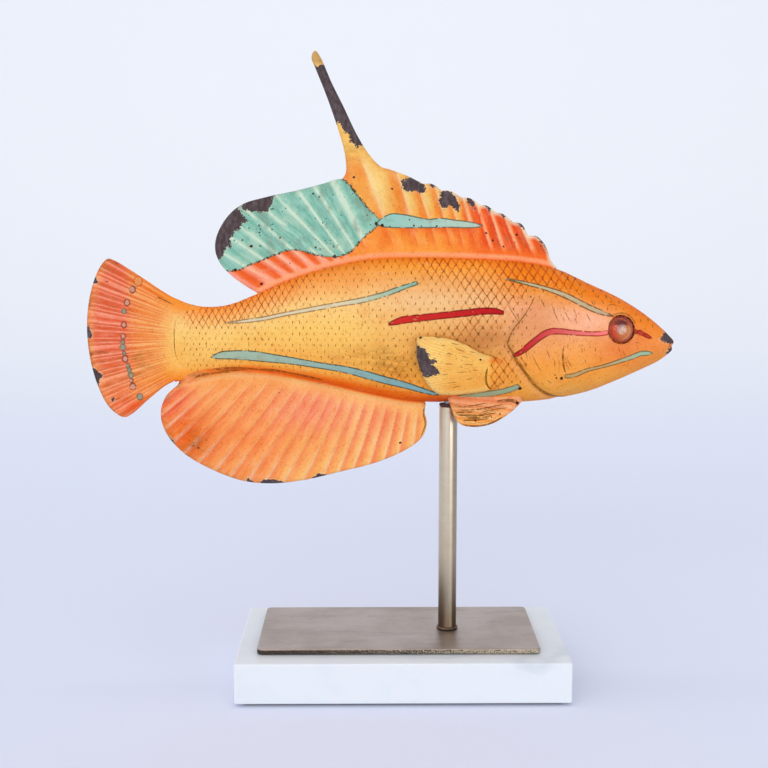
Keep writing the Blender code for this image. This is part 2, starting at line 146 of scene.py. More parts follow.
def linear(red, green, blue):
    """An sRGB colour as linear red, green, blue, alpha."""
    parts = [c / 255 for c in (red, green, blue)]
    return tuple(c / 12.92 if c <= 0.04045 else ((c + 0.055) / 1.055) ** 2.4 for c in parts) + (1.0,)


class Val:
    """A number in a node graph that takes plain arithmetic."""

    def __init__(self, graph, socket):
        self.graph, self.socket = graph, socket

    def __add__(self, other):
        return self.graph.math("ADD", self, other)

    def __sub__(self, other):
        return self.graph.math("SUBTRACT", self, other)

    def __rsub__(self, other):
        return self.graph.math("SUBTRACT", other, self)

    def __mul__(self, other):
        return self.graph.math("MULTIPLY", self, other)

    __radd__, __rmul__ = __add__, __mul__

    def __abs__(self):
        return self.graph.math("ABSOLUTE", self)

    def step(self, low, high):
        """0 at low, 1 at high and smooth between; low may be above high."""
        node = self.graph.node("ShaderNodeMapRange", interpolation_type="SMOOTHSTEP")
        for key, value in (("Value", self), ("From Min", low), ("From Max", high)):
            self.graph.set(node.inputs[key], value)
        return Val(self.graph, node.outputs["Result"])

    def most(self, other):
        return self.graph.math("MAXIMUM", self, other)

    def off_whole(self):
        """Signed distance from the nearest whole number, at most a half."""
        return self.graph.math("FRACT", self + 0.5) - 0.5

    def fraction(self):
        return self.graph.math("FRACT", self)


class Graph:
    """One material's nodes."""

    def __init__(self, name):
        self.material = bpy.data.materials.new(name)
        self.material.use_nodes = True
        self.tree = self.material.node_tree
        self.shader = self.tree.nodes["Principled BSDF"]
        coords = self.node("ShaderNodeTexCoord")
        self.place = self.vector("SCALE", coords.outputs["Object"], 1 / MM)

    def node(self, kind, **settings):
        made = self.tree.nodes.new(kind)
        for key, value in settings.items():
            setattr(made, key, value)
        return made

    def set(self, socket, value):
        if isinstance(value, Val):
            value = value.socket
        if isinstance(value, bpy.types.NodeSocket):
            self.tree.links.new(value, socket)
        else:
            socket.default_value = value

    def math(self, operation, *values):
        made = self.node("ShaderNodeMath", operation=operation)
        for socket, value in zip(made.inputs, values):
            self.set(socket, value)
        return Val(self, made.outputs[0])

    def vector(self, operation, value, by):
        made = self.node("ShaderNodeVectorMath", operation=operation)
        self.set(made.inputs[0], value)
        self.set(made.inputs["Scale" if operation == "SCALE" else 1], by)
        return made.outputs[0]

    def value(self, name):
        return Val(self, self.node("ShaderNodeAttribute", attribute_name=name).outputs["Fac"])

    def colour(self, name):
        made = self.node("ShaderNodeAttribute", attribute_name=name)
        return Val(self, made.outputs["Color"]), Val(self, made.outputs["Alpha"])

    def parts(self, name):
        made = self.node("ShaderNodeSeparateXYZ")
        self.set(made.inputs[0], self.node("ShaderNodeAttribute", attribute_name=name).outputs["Vector"])
        return [Val(self, out) for out in made.outputs]

    def joined(self, *values):
        made = self.node("ShaderNodeCombineXYZ")
        for socket, value in zip(made.inputs, values):
            self.set(socket, value)
        return made.outputs[0]

    def noise(self, size, detail=2.0, rough=0.5, stretch=(1, 1, 1), shift=0.0, place=None):
        """Soft noise about 0.5 whose blobs are about `size` mm, or `size` units of another place."""
        place = self.vector("MULTIPLY", place or self.place, stretch)
        place = self.vector("ADD", place, (shift, -shift, 2 * shift))
        made = self.node("ShaderNodeTexNoise", noise_dimensions="3D")
        self.set(made.inputs["Vector"], place)
        for key, value in (("Scale", 1 / size), ("Detail", detail), ("Roughness", rough)):
            made.inputs[key].default_value = value
        return Val(self, made.outputs["Fac"])

    def specks(self, size, share, radius, shift=0.0):
        """1 on round dots in about `share` of cells `size` mm wide."""
        made = self.node("ShaderNodeTexVoronoi", voronoi_dimensions="3D", feature="F1")
        self.set(made.inputs["Vector"], self.vector("ADD", self.place, (shift, shift, shift)))
        made.inputs["Scale"].default_value = 1 / size
        chance = self.node("ShaderNodeSeparateXYZ")
        self.set(chance.inputs[0], made.outputs["Color"])
        reach = (Val(self, chance.outputs[0]) - (1 - share)) * (radius / share)
        return (reach - Val(self, made.outputs["Distance"]) * size).step(0.0, 0.12)

    def mix(self, factor, one, other, blend="MIX"):
        made = self.node("ShaderNodeMix", data_type="RGBA", blend_type=blend)
        for socket, value in ((made.inputs[0], factor), (made.inputs[6], one), (made.inputs[7], other)):
            self.set(socket, value)
        return Val(self, made.outputs[2])

    def bump(self, height):
        """The normal for a height in mm."""
        made = self.node("ShaderNodeBump")
        made.inputs["Strength"].default_value = 1.0
        made.inputs["Distance"].default_value = MM
        self.set(made.inputs["Height"], height)
        return Val(self, made.outputs[0])

    def finish(self, colour, rough, normal=None, metal=0.0, specular=0.5, **more):
        for key, value in (("Base Color", colour), ("Roughness", rough), ("Normal", normal), ("Metallic", metal)):
            if value is not None:
                self.set(self.shader.inputs[key], value)
        self.shader.inputs["Specular IOR Level"].default_value = specular
        for key, value in more.items():
            self.shader.inputs[key.replace("_", " ").title()].default_value = value
        return self.material


DARK_LINE, SOFT_LINE = linear(92, 48, 12), linear(138, 82, 22)
CHIP, CHIP_PALE = linear(72, 58, 58), linear(104, 92, 94)
CREAM = linear(252, 232, 196)
TEAL, TEAL_PALE, TEAL_TROUGH_SHADE = linear(116, 178, 156), linear(156, 206, 186), linear(112, 166, 144)
RIDGE_HIGHLIGHT, RIDGE_TOP_HIGHLIGHT = linear(190, 219, 192), linear(234, 238, 210)
OLIVE, WORN_TEAL, MILKY_TEAL = linear(150, 168, 134), linear(124, 148, 128), linear(206, 222, 194)
PANEL_SPECK, FRINGE, CLOT = linear(44, 70, 54), linear(84, 84, 60), linear(46, 44, 32)
DUST_AND_SHADE, SOOT_AND_SHADE = linear(142, 90, 28), linear(108, 56, 18)
INK, INK_PALE, DARK_DOT, SPATTER = linear(96, 50, 12), linear(146, 92, 24), linear(62, 30, 26), linear(96, 54, 22)
PAINT_GLOSS = 0.10
CREST_AT = 0.07  # a fin ray stands this share of a band past its painted dark line


def paint(name, scales=False, rays=0.0, panel=False, loose=0.16, torn=5.0):
    """Layered hand paint driven by the piece's paint fields.

    `rays` is how strongly rays are shaded, `loose` and `torn` how far stripes and chips stray from their outlines.
    """
    g = Graph(name)
    colour, _ = g.colour("ground")

    def glaze(amount, red, green, blue):
        """The colour under a thin wash."""
        return g.mix(amount, colour, g.mix(1.0, colour, linear(red, green, blue), "MULTIPLY"))

    def veil(amount, share, over):
        """The colour partly covered by another."""
        return g.mix(amount, colour, g.mix(share, colour, over))

    # uneven washes over the whole piece
    blotch, fine = g.noise(8, 3), g.noise(1.1, 4, 0.6)
    streak = g.noise(2.2, 3, 0.6, stretch=(0.25, 1, 1), shift=7)
    height = fine * 0.05 + blotch * 0.06
    ragged = (g.noise(1.2, 4, 0.7, shift=3) - 0.5) * 2.0
    slow = (g.noise(3.4, 2, shift=11) - 0.5) * 2.0

    colour = glaze(blotch.step(0.42, 0.70) * 0.35, 246, 214, 176)
    colour = veil(streak.step(0.54, 0.78) * 0.20, 0.5, CREAM)
    colour = glaze(fine.step(0.52, 0.78) * 0.60, 230, 182, 128)
    colour = glaze(g.noise(0.7, 3, 0.6, shift=51).step(0.58, 0.72) * 0.7, 208, 150, 88)

    if rays:  # shaded bands with a lit crest each
        ray = g.value("ray")
        lit, weight, edge = g.parts("comb")
        drift = slow * 0.035
        wave = (ray + drift).fraction()
        brushed = g.noise(1.0, 3, 0.6, place=g.joined(ray * 5.0, edge * 0.16, 0.0))
        colour = glaze(wave.step(0.30, 0.98) * weight * rays, 240, 148, 92)
        colour = glaze(brushed.step(0.50, 0.72) * weight * 0.8, 242, 178, 126)
        colour = veil(brushed.step(0.48, 0.28) * weight * 0.5, 0.4, CREAM)
        crest = abs((ray - CREST_AT + drift).off_whole()) + ragged * 0.012
        broken = g.noise(2.5, 3, 0.6, shift=5).step(0.40, 0.60)
        colour = veil(crest.step(0.22, 0.03) * lit * 0.9, 0.42, CREAM)
        colour = veil(crest.step(0.060, 0.012) * lit * broken, 0.55, CREAM)
        height = height + brushed * 0.07 * weight
    if panel:  # the turquoise lobe: painted highlights on its ridges and painted shade in its troughs, dark specks, worn patches and a dark broken border
        inside = g.value("panel_d")
        teal = g.mix(brushed.step(0.30, 0.68), TEAL, TEAL_PALE)
        trough = abs((ray - CREST_AT - 0.5 + drift).off_whole())
        teal = g.mix(trough.step(0.30, 0.06) * weight * 0.5, teal, TEAL_TROUGH_SHADE)
        length = g.noise(1.0, 2, 0.6, shift=1, place=g.joined(ray * 1.7, edge * 0.09, 0.0)).step(0.28, 0.46)
        teal = g.mix(crest.step(0.30, 0.07) * length * weight * 0.9, teal, RIDGE_HIGHLIGHT)
        teal = g.mix((crest + ragged * 0.04).step(0.13, 0.04) * length * weight * 0.95, teal, RIDGE_TOP_HIGHLIGHT)
        teal = g.mix(g.noise(2.4, 3, 0.6, shift=9).step(0.56, 0.74) * 0.5, teal, OLIVE)
        spots = g.specks(1.7, 0.8, 0.44, shift=21).most(g.specks(3.1, 0.6, 0.75, shift=22))
        teal = g.mix(spots * g.noise(6, 2, shift=24).step(0.22, 0.42) * 0.9, teal, PANEL_SPECK)
        at_edge = inside + ragged * 0.45
        patch = g.noise(11, 3, 0.6, stretch=(1, 1, 0.7), shift=61)
        teal = g.mix(patch.step(0.52, 0.66) * 0.55, teal, WORN_TEAL)
        teal = g.mix(patch.step(0.48, 0.34) * 0.30, teal, MILKY_TEAL)
        colour = g.mix(at_edge.step(-0.10, 0.12), colour, teal)
        fringe = abs(at_edge - 0.05)
        colour = g.mix(fringe.step(0.30, 0.10) * 0.6, colour, FRINGE)
        clots = g.noise(1.1, 2, 0.6, shift=13).step(0.50, 0.58)
        colour = g.mix(fringe.step(0.85, 0.40) * clots * 0.92, colour, CLOT)
        height = height + at_edge.step(-0.1, 0.1) * 0.06 - fringe.step(0.7, 0.3) * clots * 0.06

    if scales:  # broken bowed lines round the scales and a dab in each
        a, b, strength = g.parts("lattice")
        whole_a, whole_b = abs(a.off_whole()), abs(b.off_whole())
        off_a = (a + slow * 0.07 + whole_b * (1.0 - whole_b) * 0.34).off_whole()
        off_b = (b - slow * 0.07 + whole_a * (1.0 - whole_a) * 0.34).off_whole()
        da, db = abs(off_a), abs(off_b)
        reach = strength * 0.80 + (g.noise(4.5, 2, shift=17) - 0.5) * 0.90
        thick = 0.032 + ragged * 0.022
        line_a = (thick - da).step(-0.024, 0.016) * (reach - whole_b).step(0.0, 0.14)
        line_b = (thick - db).step(-0.024, 0.016) * (reach - whole_a).step(0.0, 0.14)
        lines = line_a.most(line_b) * g.noise(2.2, 3, 0.65, shift=19).step(0.41, 0.60)
        halo = da.step(0.22, 0.0).most(db.step(0.22, 0.0)) * strength.step(0.2, 0.9)
        colour = glaze(halo * 0.6, 236, 158, 84)
        colour = g.mix(lines * 0.86, colour, g.mix(strength.step(0.2, 0.8), SOFT_LINE, DARK_LINE))
        off_a, off_b = a.off_whole(), b.off_whole()
        across_dab = (off_a + off_b) * 2.0 + ragged * 0.16 + slow * 0.30
        along_dab = (off_a - off_b) * (2.4 + g.noise(2.8, 2, shift=57) * 3.0) + slow * 0.4
        dab = (across_dab * across_dab * 11.0 + along_dab * along_dab * 0.6).step(1.0, 0.25)
        dab = dab * g.noise(3.0, 2, shift=27).step(0.36, 0.62) * strength.step(0.02, 0.12)
        colour = g.mix(dab * 0.85, colour, g.mix(strength.step(0.2, 0.8), SOFT_LINE, DARK_LINE))
        height = height - lines * 0.10 - dab * 0.08
        scratch = g.noise(1.5, 3, 0.7, stretch=(1.6, 1, 0.45), shift=33).step(0.63, 0.70)
        colour = g.mix(scratch * 0.65, colour, SOFT_LINE)

    # streaks of grime together with painted shade: along the gill line, round the pectoral fin's border and on the
    # belly round the rod
    grime_and_shade, smudge_and_shade, dark = g.parts("dirt_and_shade")
    patchy = g.noise(2.6, 5, 0.7, stretch=(0.35, 1, 1), shift=23)
    colour = g.mix(grime_and_shade * patchy.step(0.34, 0.64), colour, g.mix(0.55, colour, DUST_AND_SHADE))
    colour = g.mix(grime_and_shade * patchy.step(0.60, 0.70) * 0.9, colour, SOOT_AND_SHADE)
    colour = glaze(smudge_and_shade, 196, 152, 124)

    # stripes with a darker outline
    trim, outlined = g.colour("trim")
    trim_d = g.value("trim_d") + ragged * loose
    body_of = trim_d.step(-0.06, 0.10)
    worn = g.noise(2.4, 4, 0.65, stretch=(0.5, 1, 1), shift=29)
    trim = g.mix(worn.step(0.48, 0.70) * 0.6, trim, g.mix(1.0, trim, linear(206, 216, 206), "MULTIPLY"))
    colour = g.mix(body_of * (1.0 - worn.step(0.60, 0.74) * 0.45), colour, trim)
    outline = abs(trim_d - 0.04).step(0.40, 0.18) * outlined * g.noise(2.2, 2, shift=31).step(0.28, 0.48)
    edging = g.mix(1.0, g.mix(1.0, trim, trim, "MULTIPLY"), linear(190, 150, 130), "MULTIPLY")
    colour = g.mix(outline * 0.85, colour, edging)
    height = height - outline * 0.06 + body_of * 0.03

    # brush strokes, dark specks and fine spatter
    across, half, weight_of = g.parts("ink")
    stroke = (half - abs(across + ragged * 0.16)).step(-0.10, 0.14) * weight_of
    colour = g.mix(stroke * g.noise(1.6, 3, shift=39).step(0.22, 0.50) * 0.9, colour,
                   g.mix(g.noise(2, 2, shift=37).step(0.35, 0.65), INK, INK_PALE))
    height = height - stroke * 0.10
    colour = g.mix((dark + ragged * 0.5).step(0.35, 0.60), colour, DARK_DOT)

    dots = g.specks(3.4, 0.45, 0.30).most(g.specks(5.3, 0.30, 0.48, shift=41))
    colour = g.mix(dots * 0.8, colour, SPATTER)

    # chips down to a dark ground, with a cream rim
    jagged = (g.noise(1.5, 4, 0.65, stretch=(1, 1, 1.5), shift=47) - 0.5) * torn
    chip_d = g.value("chip_d") + jagged * g.value("chip_d").step(-1.6, -0.2)
    fringe = chip_d.step(-0.65, -0.10) * g.noise(1.6, 2, shift=45).step(0.38, 0.62)
    colour = veil(fringe * 0.85, 0.55, CREAM)
    bare = g.mix(g.noise(1.4, 4, 0.7, stretch=(1, 1, 0.4), shift=43).step(0.35, 0.75), CHIP, CHIP_PALE)
    missing = chip_d.step(-0.05, 0.10)
    colour = g.mix(missing, colour, bare)
    height = height - missing * 0.16

    rough = 0.44 + fine * 0.16 + missing * 0.14
    return g.finish(colour, rough, g.bump(height), specular=PAINT_GLOSS)


# ---------------------------------------------------------------- outlines and distances


def spline(points, step=1.0):
    """Points about `step` apart on a Catmull-Rom curve through the given ones."""
    points = np.array(points, float)
    ends = np.vstack([2 * points[0] - points[1], points, 2 * points[-1] - points[-2]])
    run = []
    for before, start, end, after in zip(ends, ends[1:], ends[2:], ends[3:]):
        count = max(1, round(float(np.linalg.norm(end - start)) / step))
        t = (np.arange(count) / count)[:, None]
        run.append(0.5 * (2 * start + t * (end - before) + t * t * (2 * before - 5 * start + 4 * end - after)
                          + t ** 3 * (3 * start - before - 3 * end + after)))
    return np.vstack(run + [points[-1:]])


def nearest(spots, line, reach=FAR):
    """Distance, signed distance (left of the line is positive) and share of the way along, for each spot."""
    spots, line = np.asarray(spots, float), np.asarray(line, float)
    distance = np.full(len(spots), FAR)
    across, along = np.full(len(spots), FAR), np.zeros(len(spots))
    low, high = line.min(0) - reach, line.max(0) + reach
    near = np.flatnonzero(((spots >= low) & (spots <= high)).all(1))
    if not len(near):
        return distance, across, along
    here = spots[near]
    best, side, way = np.full(len(near), FAR), np.full(len(near), FAR), np.zeros(len(near))
    lengths = np.linalg.norm(np.diff(line, axis=0), axis=1)
    starts = np.concatenate([[0], np.cumsum(lengths)])
    for start, end, length, walked in zip(line, line[1:], lengths, starts):
        if length < 1e-9:
            continue
        run = (end - start) / length
        offset = here - start
        forward = np.clip(offset @ run, 0, length)
        off = offset - forward[:, None] * run
        gap = np.hypot(off[:, 0], off[:, 1])
        closer = gap < best
        turn = run[0] * offset[:, 1] - run[1] * offset[:, 0]
        best = np.where(closer, gap, best)
        side = np.where(closer, np.where(turn < 0, -gap, gap), side)
        way = np.where(closer, (walked + forward) / starts[-1], way)
    distance[near], across[near], along[near] = best, side, way
    return distance, across, along


def depth_in(spots, outline, reach=8.0):
    """How far inside a closed outline each spot lies, in mm; negative outside."""
    outline = np.asarray(outline, float)
    closed = np.vstack([outline, outline[:1]])
    gap, _, _ = nearest(spots, closed, reach)
    inside = np.zeros(len(spots), bool)
    x, z = spots[:, 0], spots[:, 1]
    for (x0, z0), (x1, z1) in zip(closed, closed[1:]):
        if z0 != z1:
            spans = (z0 > z) != (z1 > z)
            inside ^= spans & (x < (x1 - x0) * (z - z0) / (z1 - z0) + x0)
    return np.where(inside, gap, -gap)


def stripe(upper, lower):
    """The closed outline between an upper and a lower line that run the same way."""
    return np.vstack([spline(upper, 1.5), spline(lower, 1.5)[::-1]])


def soft(value, low, high):
    """0 at low, 1 at high and smooth between; low may be above high."""
    t = np.clip((value - low) / (high - low), 0, 1)
    return t * t * (3 - 2 * t)


def blob(x, z, at_x, at_z, wide, tall):
    """1 at one place, fading over `wide` and `tall` mm."""
    return np.exp(-((x - at_x) / wide) ** 2 - ((z - at_z) / tall) ** 2)


def between(one, other, share):
    """The number a share of the way from one to the other."""
    return one + (other - one) * share


def lerp(one, other, share):
    """The colours a share of the way from one to the other, with a share for each point."""
    return one + (other - one) * np.asarray(share)[..., None]


def rgb(*colour):
    """An sRGB colour as linear red, green and blue."""
    return np.array(linear(*colour)[:3])


def washes(colour, *layers):
    """The colours under layers of an sRGB tint and its share, the last on top."""
    for tint, share in layers:
        colour = lerp(colour, rgb(*tint), share)
    return colour


def opaque(colour):
    return np.column_stack([colour, np.ones(len(colour))])


def comb(lit, weight, edge):
    """How strongly a ray's crest is lit and its band is shaded, and the distance from the edge."""
    return np.column_stack(np.broadcast_arrays(lit, weight, edge))


def make(name, points, faces, body, replaced, material, fields=None):
    """A smooth mesh piece from points in the fish's frame, in mm."""
    mesh = bpy.data.meshes.new(name)
    place = (np.asarray(points, float) + (AXIS_X, 0, 0)) * MM
    mesh.from_pydata(place.tolist(), [], [tuple(int(i) for i in face) for face in faces])
    mesh.validate()
    mesh.shade_smooth()
    kinds = {1: ("FLOAT", "value"), 3: ("FLOAT_VECTOR", "vector"), 4: ("FLOAT_COLOR", "color")}
    for key, values in (fields or {}).items():
        values = np.asarray(values, np.float32)
        kind, slot_name = kinds[1 if values.ndim == 1 else values.shape[1]]
        mesh.attributes.new(key, kind, "POINT").data.foreach_set(slot_name, values.ravel())
    mesh.materials.append(material)
    thing = bpy.data.objects.new(name, mesh)
    bpy.context.scene.collection.objects.link(thing)
    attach(thing, body)
    if replaced:
        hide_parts(*replaced)


def blank_fields(count):
    """Paint fields that change nothing; each piece fills in the ones it needs."""
    return {
        "trim": np.zeros((count, 4)), "trim_d": np.full(count, -FAR), "chip_d": np.full(count, -FAR),
        "ink": np.tile((FAR, 0.0, 0.0), (count, 1)), "dirt_and_shade": np.zeros((count, 3)),
    }


def add_trim(fields, spots, outline, front, rear, outlined, turn=0.0):
    """A stripe of paint whose colour runs from `rear` to `front` along x, from the share `turn` on."""
    depth = depth_in(spots, outline)
    closer = depth > fields["trim_d"]
    low, high = outline[:, 0].min(), outline[:, 0].max()
    tint = lerp(rgb(*rear), rgb(*front), soft(spots[:, 0], low + turn * (high - low), high))
    fields["trim_d"] = np.maximum(fields["trim_d"], depth)
    fields["trim"][closer, :3] = tint[closer]
    fields["trim"][closer, 3] = outlined


def add_ink(fields, spots, line, half, ends=0.12, strength=1.0):
    """A brown stroke along a line; `half` is its half width in mm at points along it."""
    gap, across, along = nearest(spots, line, 4.0)
    taper = soft(along, 0, ends) * soft(along, 1, 1 - ends) if ends else 1.0
    width = np.interp(along, np.linspace(0, 1, len(np.atleast_1d(half))), np.atleast_1d(half)) * taper
    weight = soft(gap, 3.2, 2.0) * strength
    closer = gap < np.abs(fields["ink"][:, 0])
    fields["ink"][closer] = np.column_stack([across, width, weight])[closer]


def add_dots(fields, spots, dots):
    """Dark specks at x, z with a radius each."""
    for x, z, size in dots:
        away = np.hypot(spots[:, 0] - x, spots[:, 1] - z)
        fields["dirt_and_shade"][:, 2] = np.maximum(fields["dirt_and_shade"][:, 2], soft(away, size * 1.3, size * 0.4))


def add_chips(fields, spots, outlines):
    """Places where the paint has come off down to the dark ground."""
    for outline in outlines:
        fields["chip_d"] = np.maximum(fields["chip_d"], depth_in(spots, outline, 6.0))


# ---------------------------------------------------------------- fish body

# The body at stations from snout to tail, as in the CAD source: x, top, bottom, half width.
STATIONS = np.array([
    (105.0, 161.2, 156.2, 1.4), (103.0, 163.3, 154.4, 3.2), (100.0, 166.3, 152.5, 5.2),
    (95.0, 170.6, 149.8, 7.4), (88.0, 175.7, 146.6, 9.9), (78.0, 181.6, 142.2, 12.5),
    (65.0, 187.6, 137.2, 14.8), (50.0, 194.4, 134.0, 16.4), (35.0, 197.6, 132.4, 17.2),
    (18.0, 198.9, 132.0, 17.3), (0.0, 199.6, 132.2, 16.8), (-18.0, 199.8, 132.8, 15.8),
    (-35.0, 199.2, 135.9, 14.5), (-55.0, 195.6, 140.6, 12.6), (-75.0, 189.4, 144.6, 10.0),
    (-90.0, 182.6, 146.9, 7.8), (-102.0, 178.0, 147.0, 6.1), (-112.0, 176.9, 145.4, 4.9),
    (-120.0, 178.1, 143.3, 4.0), (-128.0, 181.3, 141.8, 3.0),
])
CROWN, ROUNDNESS = 0.52, 2.15  # the widest level's share of the height, and the power of the section's curve
SNOUT_END, SNOUT_BACK, TAIL_END = 105.0, 99.0, -128.0
SNOUT_STEP, BODY_STEP, BODY_SIDES = 0.3, 0.66, 256


def sections(x):
    """Top, bottom and half width of the body at each x, on a cubic through the stations."""
    x = np.clip(np.asarray(x, float), STATIONS[-1, 0], STATIONS[0, 0])
    at = np.clip(np.searchsorted(-STATIONS[:, 0], -x, side="right") - 1, 0, len(STATIONS) - 2)
    before, start = STATIONS[np.maximum(at - 1, 0)], STATIONS[at]
    end, after = STATIONS[at + 1], STATIONS[np.minimum(at + 2, len(STATIONS) - 1)]
    span = end[..., :1] - start[..., :1]
    t = (x[..., None] - start[..., :1]) / span
    slope_start = (end - before) / (end[..., :1] - before[..., :1]) * span
    slope_end = (after - start) / (after[..., :1] - start[..., :1]) * span
    row = ((2 * t ** 3 - 3 * t ** 2 + 1) * start + (t ** 3 - 2 * t ** 2 + t) * slope_start
           + (3 * t ** 2 - 2 * t ** 3) * end + (t ** 3 - t ** 2) * slope_end)
    return row[..., 1], row[..., 2], row[..., 3]


def flank(x, z):
    """Half width of the body at x and height z."""
    top, bottom, half = sections(x)
    middle = bottom + CROWN * (top - bottom)
    reach = np.where(z > middle, top - middle, middle - bottom)
    return half * np.maximum(0.0, 1 - (np.abs(z - middle) / reach) ** ROUNDNESS) ** (1 / ROUNDNESS)


def seen(points, out=0.0):
    """Points read square on from the front, in the plane of the swivel axis, moved to the flank they lie on."""
    points = np.array(points, float)
    share = (flank(points[:, 0], points[:, 1]) + out) / -VIEW_FROM.y
    return points - share[:, None] * (points - (VIEW_FROM.x, VIEW_FROM.z))


def seen_dots(dots, out=0.0):
    return [(*seen([(x, z)], out)[0], size) for x, z, size in dots]


REAR_STRIPE = stripe(
    [(-104, 169.6), (-92, 171.4), (-85, 172.5), (-78, 174), (-60, 177.5), (-50, 179.3), (-40, 181.2), (-30, 183.8),
     (-25, 185.7), (-15, 188.8)],
    [(-104, 169.2), (-95, 169.5), (-85, 170.7), (-78, 172.3), (-60, 175.5), (-50, 177.2), (-40, 178.8), (-30, 181.5),
     (-20, 185.3), (-14.4, 187.2)])
RED_STRIPE = stripe(
    [(-28, 169.4), (-24, 171.4), (-20, 172.5), (-10, 173.5), (0, 174.6), (10, 175.7), (17, 176.3), (22, 176.0),
     (25.6, 174.7)],
    [(-28, 168.2), (-24, 168.6), (-20, 169.3), (-10, 170.5), (0, 171.6), (10, 172.6), (17, 173.4), (22, 173.4),
     (25.6, 173.2)])
LOW_STRIPE = stripe(
    [(-111, 153.6), (-108, 155.3), (-104, 156.2), (-92, 156.3), (-78, 154), (-60, 150.8), (-50, 149.3), (-40, 147.2),
     (-30, 144.3), (-20, 141.5), (-10, 138), (-5, 136.4)],
    [(-111, 153.3), (-108, 152.6), (-100, 152.4), (-85, 151.2), (-70, 149.6), (-50, 146.3), (-40, 143.7), (-30, 141),
     (-20, 138.6), (-10, 136), (-5, 135.2)])
FRONT_STRIPE = stripe([(4, 135.2), (15, 136.8), (25, 138.3), (32.6, 140.6)],
                      [(4, 133.6), (17, 134.5), (27, 136.2), (34, 138.8)])
HEAD_STRIPE = stripe([(25, 190.3), (35, 188.7), (45, 186.2), (55, 183), (65, 178), (71, 175.3), (76.8, 172.5)],
                     [(25, 189.9), (35, 187.3), (45, 184.5), (55, 180.5), (65, 175.5), (71, 173.2), (76.4, 172.2)])
ANAL_SEAM = [(-117.4, 146.0), (-111, 147.2), (-105, 148.2), (-97.4, 148.4), (-89.8, 147.8), (-81, 147.2), (-70, 145.2),
             (-58, 142.6)]
JAW_STRIPE = stripe([(54.5, 145.0), (59, 145.8), (65, 148.0), (72, 149.6), (80, 152.2), (85.4, 154.2), (90, 156.0),
                     (93.6, 156.0), (95.4, 155.3)],
                    [(54.5, 143.6), (59, 143.8), (65, 146.4), (72, 148.2), (80, 150.4), (86, 152.3), (90, 153.9),
                     (93.4, 154.2), (95.3, 154.9)])
CHEEK_STRIPE = stripe([(29.8, 154.6), (33, 156.4), (37, 159.9), (43, 164.6), (46, 166.2), (50, 166.8), (58, 165.9),
                       (64, 165.3), (70, 165.2), (74.5, 165.8)],
                      [(30.6, 153.2), (33, 154.2), (37, 156.5), (43, 161.3), (46, 163.1), (50, 164.1), (58, 163.6),
                       (64, 163.3), (70, 163.2), (74.5, 163.8)])
NOSE_DASHES = [np.array(dash, float) for dash in (
    [(84.6, 166.2), (86.6, 166.6), (88.2, 165.4), (87.6, 164.2), (85.2, 164.8)],
    [(87.6, 165.7), (89.4, 165.9), (91.6, 164.4), (90.6, 163.2), (88.6, 164.0)],
    [(91.0, 164.4), (92.6, 164.2), (95.0, 162.4), (93.6, 162.0), (91.2, 163.0)])]
GILL_UPPER = [(40, 181.5), (37.5, 176.5), (35, 172.5), (31, 167.3), (29, 164), (27.3, 159.5)]
GILL_LOWER = [(27.3, 159.5), (30, 155.3), (31.5, 152.3), (33.5, 149.5), (36, 145.8), (38.5, 142.5), (41, 139.5),
              (44, 137.2), (47, 135.8), (51, 134.9), (56, 134.6)]
CHEEK_CREASE = [(54, 158.5), (53.5, 155), (53.6, 151), (54.3, 147.5), (55, 145.5)]
CHEEK_SCRATCHES = (
    [(26.5, 180), (29.5, 174.5), (33, 169)], [(36, 186), (33.5, 180)], [(42.5, 181), (45, 176)],
    [(47.5, 179), (49.5, 173.5), (52, 168.5)], [(52.5, 178.5), (55, 173), (57.5, 168.5)], [(58, 176.5), (60, 171.5)],
    [(64, 174), (66.5, 169.5)], [(35.5, 157.6), (37, 152.4)], [(38.6, 155.5), (41, 150.5), (44, 145.6)],
    [(46, 157), (47.6, 152)], [(49.5, 152), (49.8, 148.4)], [(55, 153), (58, 148)], [(62, 158), (62.6, 155)],
    [(81.5, 156), (83, 153.4)], [(67.5, 182.5), (69.6, 180.6)], [(70.6, 180.2), (72.4, 178.4)],
    [(74.4, 181.6), (76.2, 179.4)], [(73.6, 177.2), (76, 177.8), (79, 177.0)], [(87, 160.2), (89.4, 159.8)],
    [(70.6, 153.6), (71.6, 151.8)], [(79.4, 158.2), (80.2, 155.4)], [(63.6, 152.6), (64.4, 150)],
    [(58.5, 172), (60, 168.6)], [(68.4, 158), (69, 155.6)], [(55, 188), (57.5, 184.5)], [(63, 185), (61, 182)],
    [(46, 142.6), (48.5, 141)], [(66, 180), (68, 176.8)],
)
MOUTH_CHIPS = (
    [(98.4, 161), (99.6, 163.5), (101, 165.6), (103, 166.5), (107, 163), (107, 159.4), (103.3, 159.2), (101.4, 160.2)],
    [(103.4, 157.5), (107, 157.7), (107, 153.6), (103.6, 154.2), (102.0, 155.0), (103.4, 156.2)])
MOUTH = (102.0, 158.5)  # where the lips meet
MOUTH_UP, MOUTH_DOWN = 0.42, 0.32  # slopes of the notch between the lips
LIP_SET_BACK = 0.7  # the lower lip is this much shorter
EYE_R, EYE_RIM, EYE_DOME = 6.2, 2.2, 3.4  # glass radius, height of its wall and of the dome over it
EYE_TURN, EYE_TILT = radians(11.0), radians(9.0)  # ahead of square on, and upwards
SOCKET_GAP, SOCKET_DEPTH = 0.25, 0.8
LID_R = 7.5  # radius of the painted line over the eye
POCKET_REACH, POCKET_LIP, POCKET_PLAY = 9, 0.42, 0.05  # skin this near is let in; width of the lip; slack of the wall
C_CENTRE, C_WIDE, C_TALL, C_POWER = (-108, 162), 20, 16.6, 3.2  # the rounded edge of the skin on the tail fin
BELLY_Z, SLEEVE_END, SLEEVE_HOLE = 133.0, 158.3, 4.3  # the sleeve's bore: mouth, end and radius


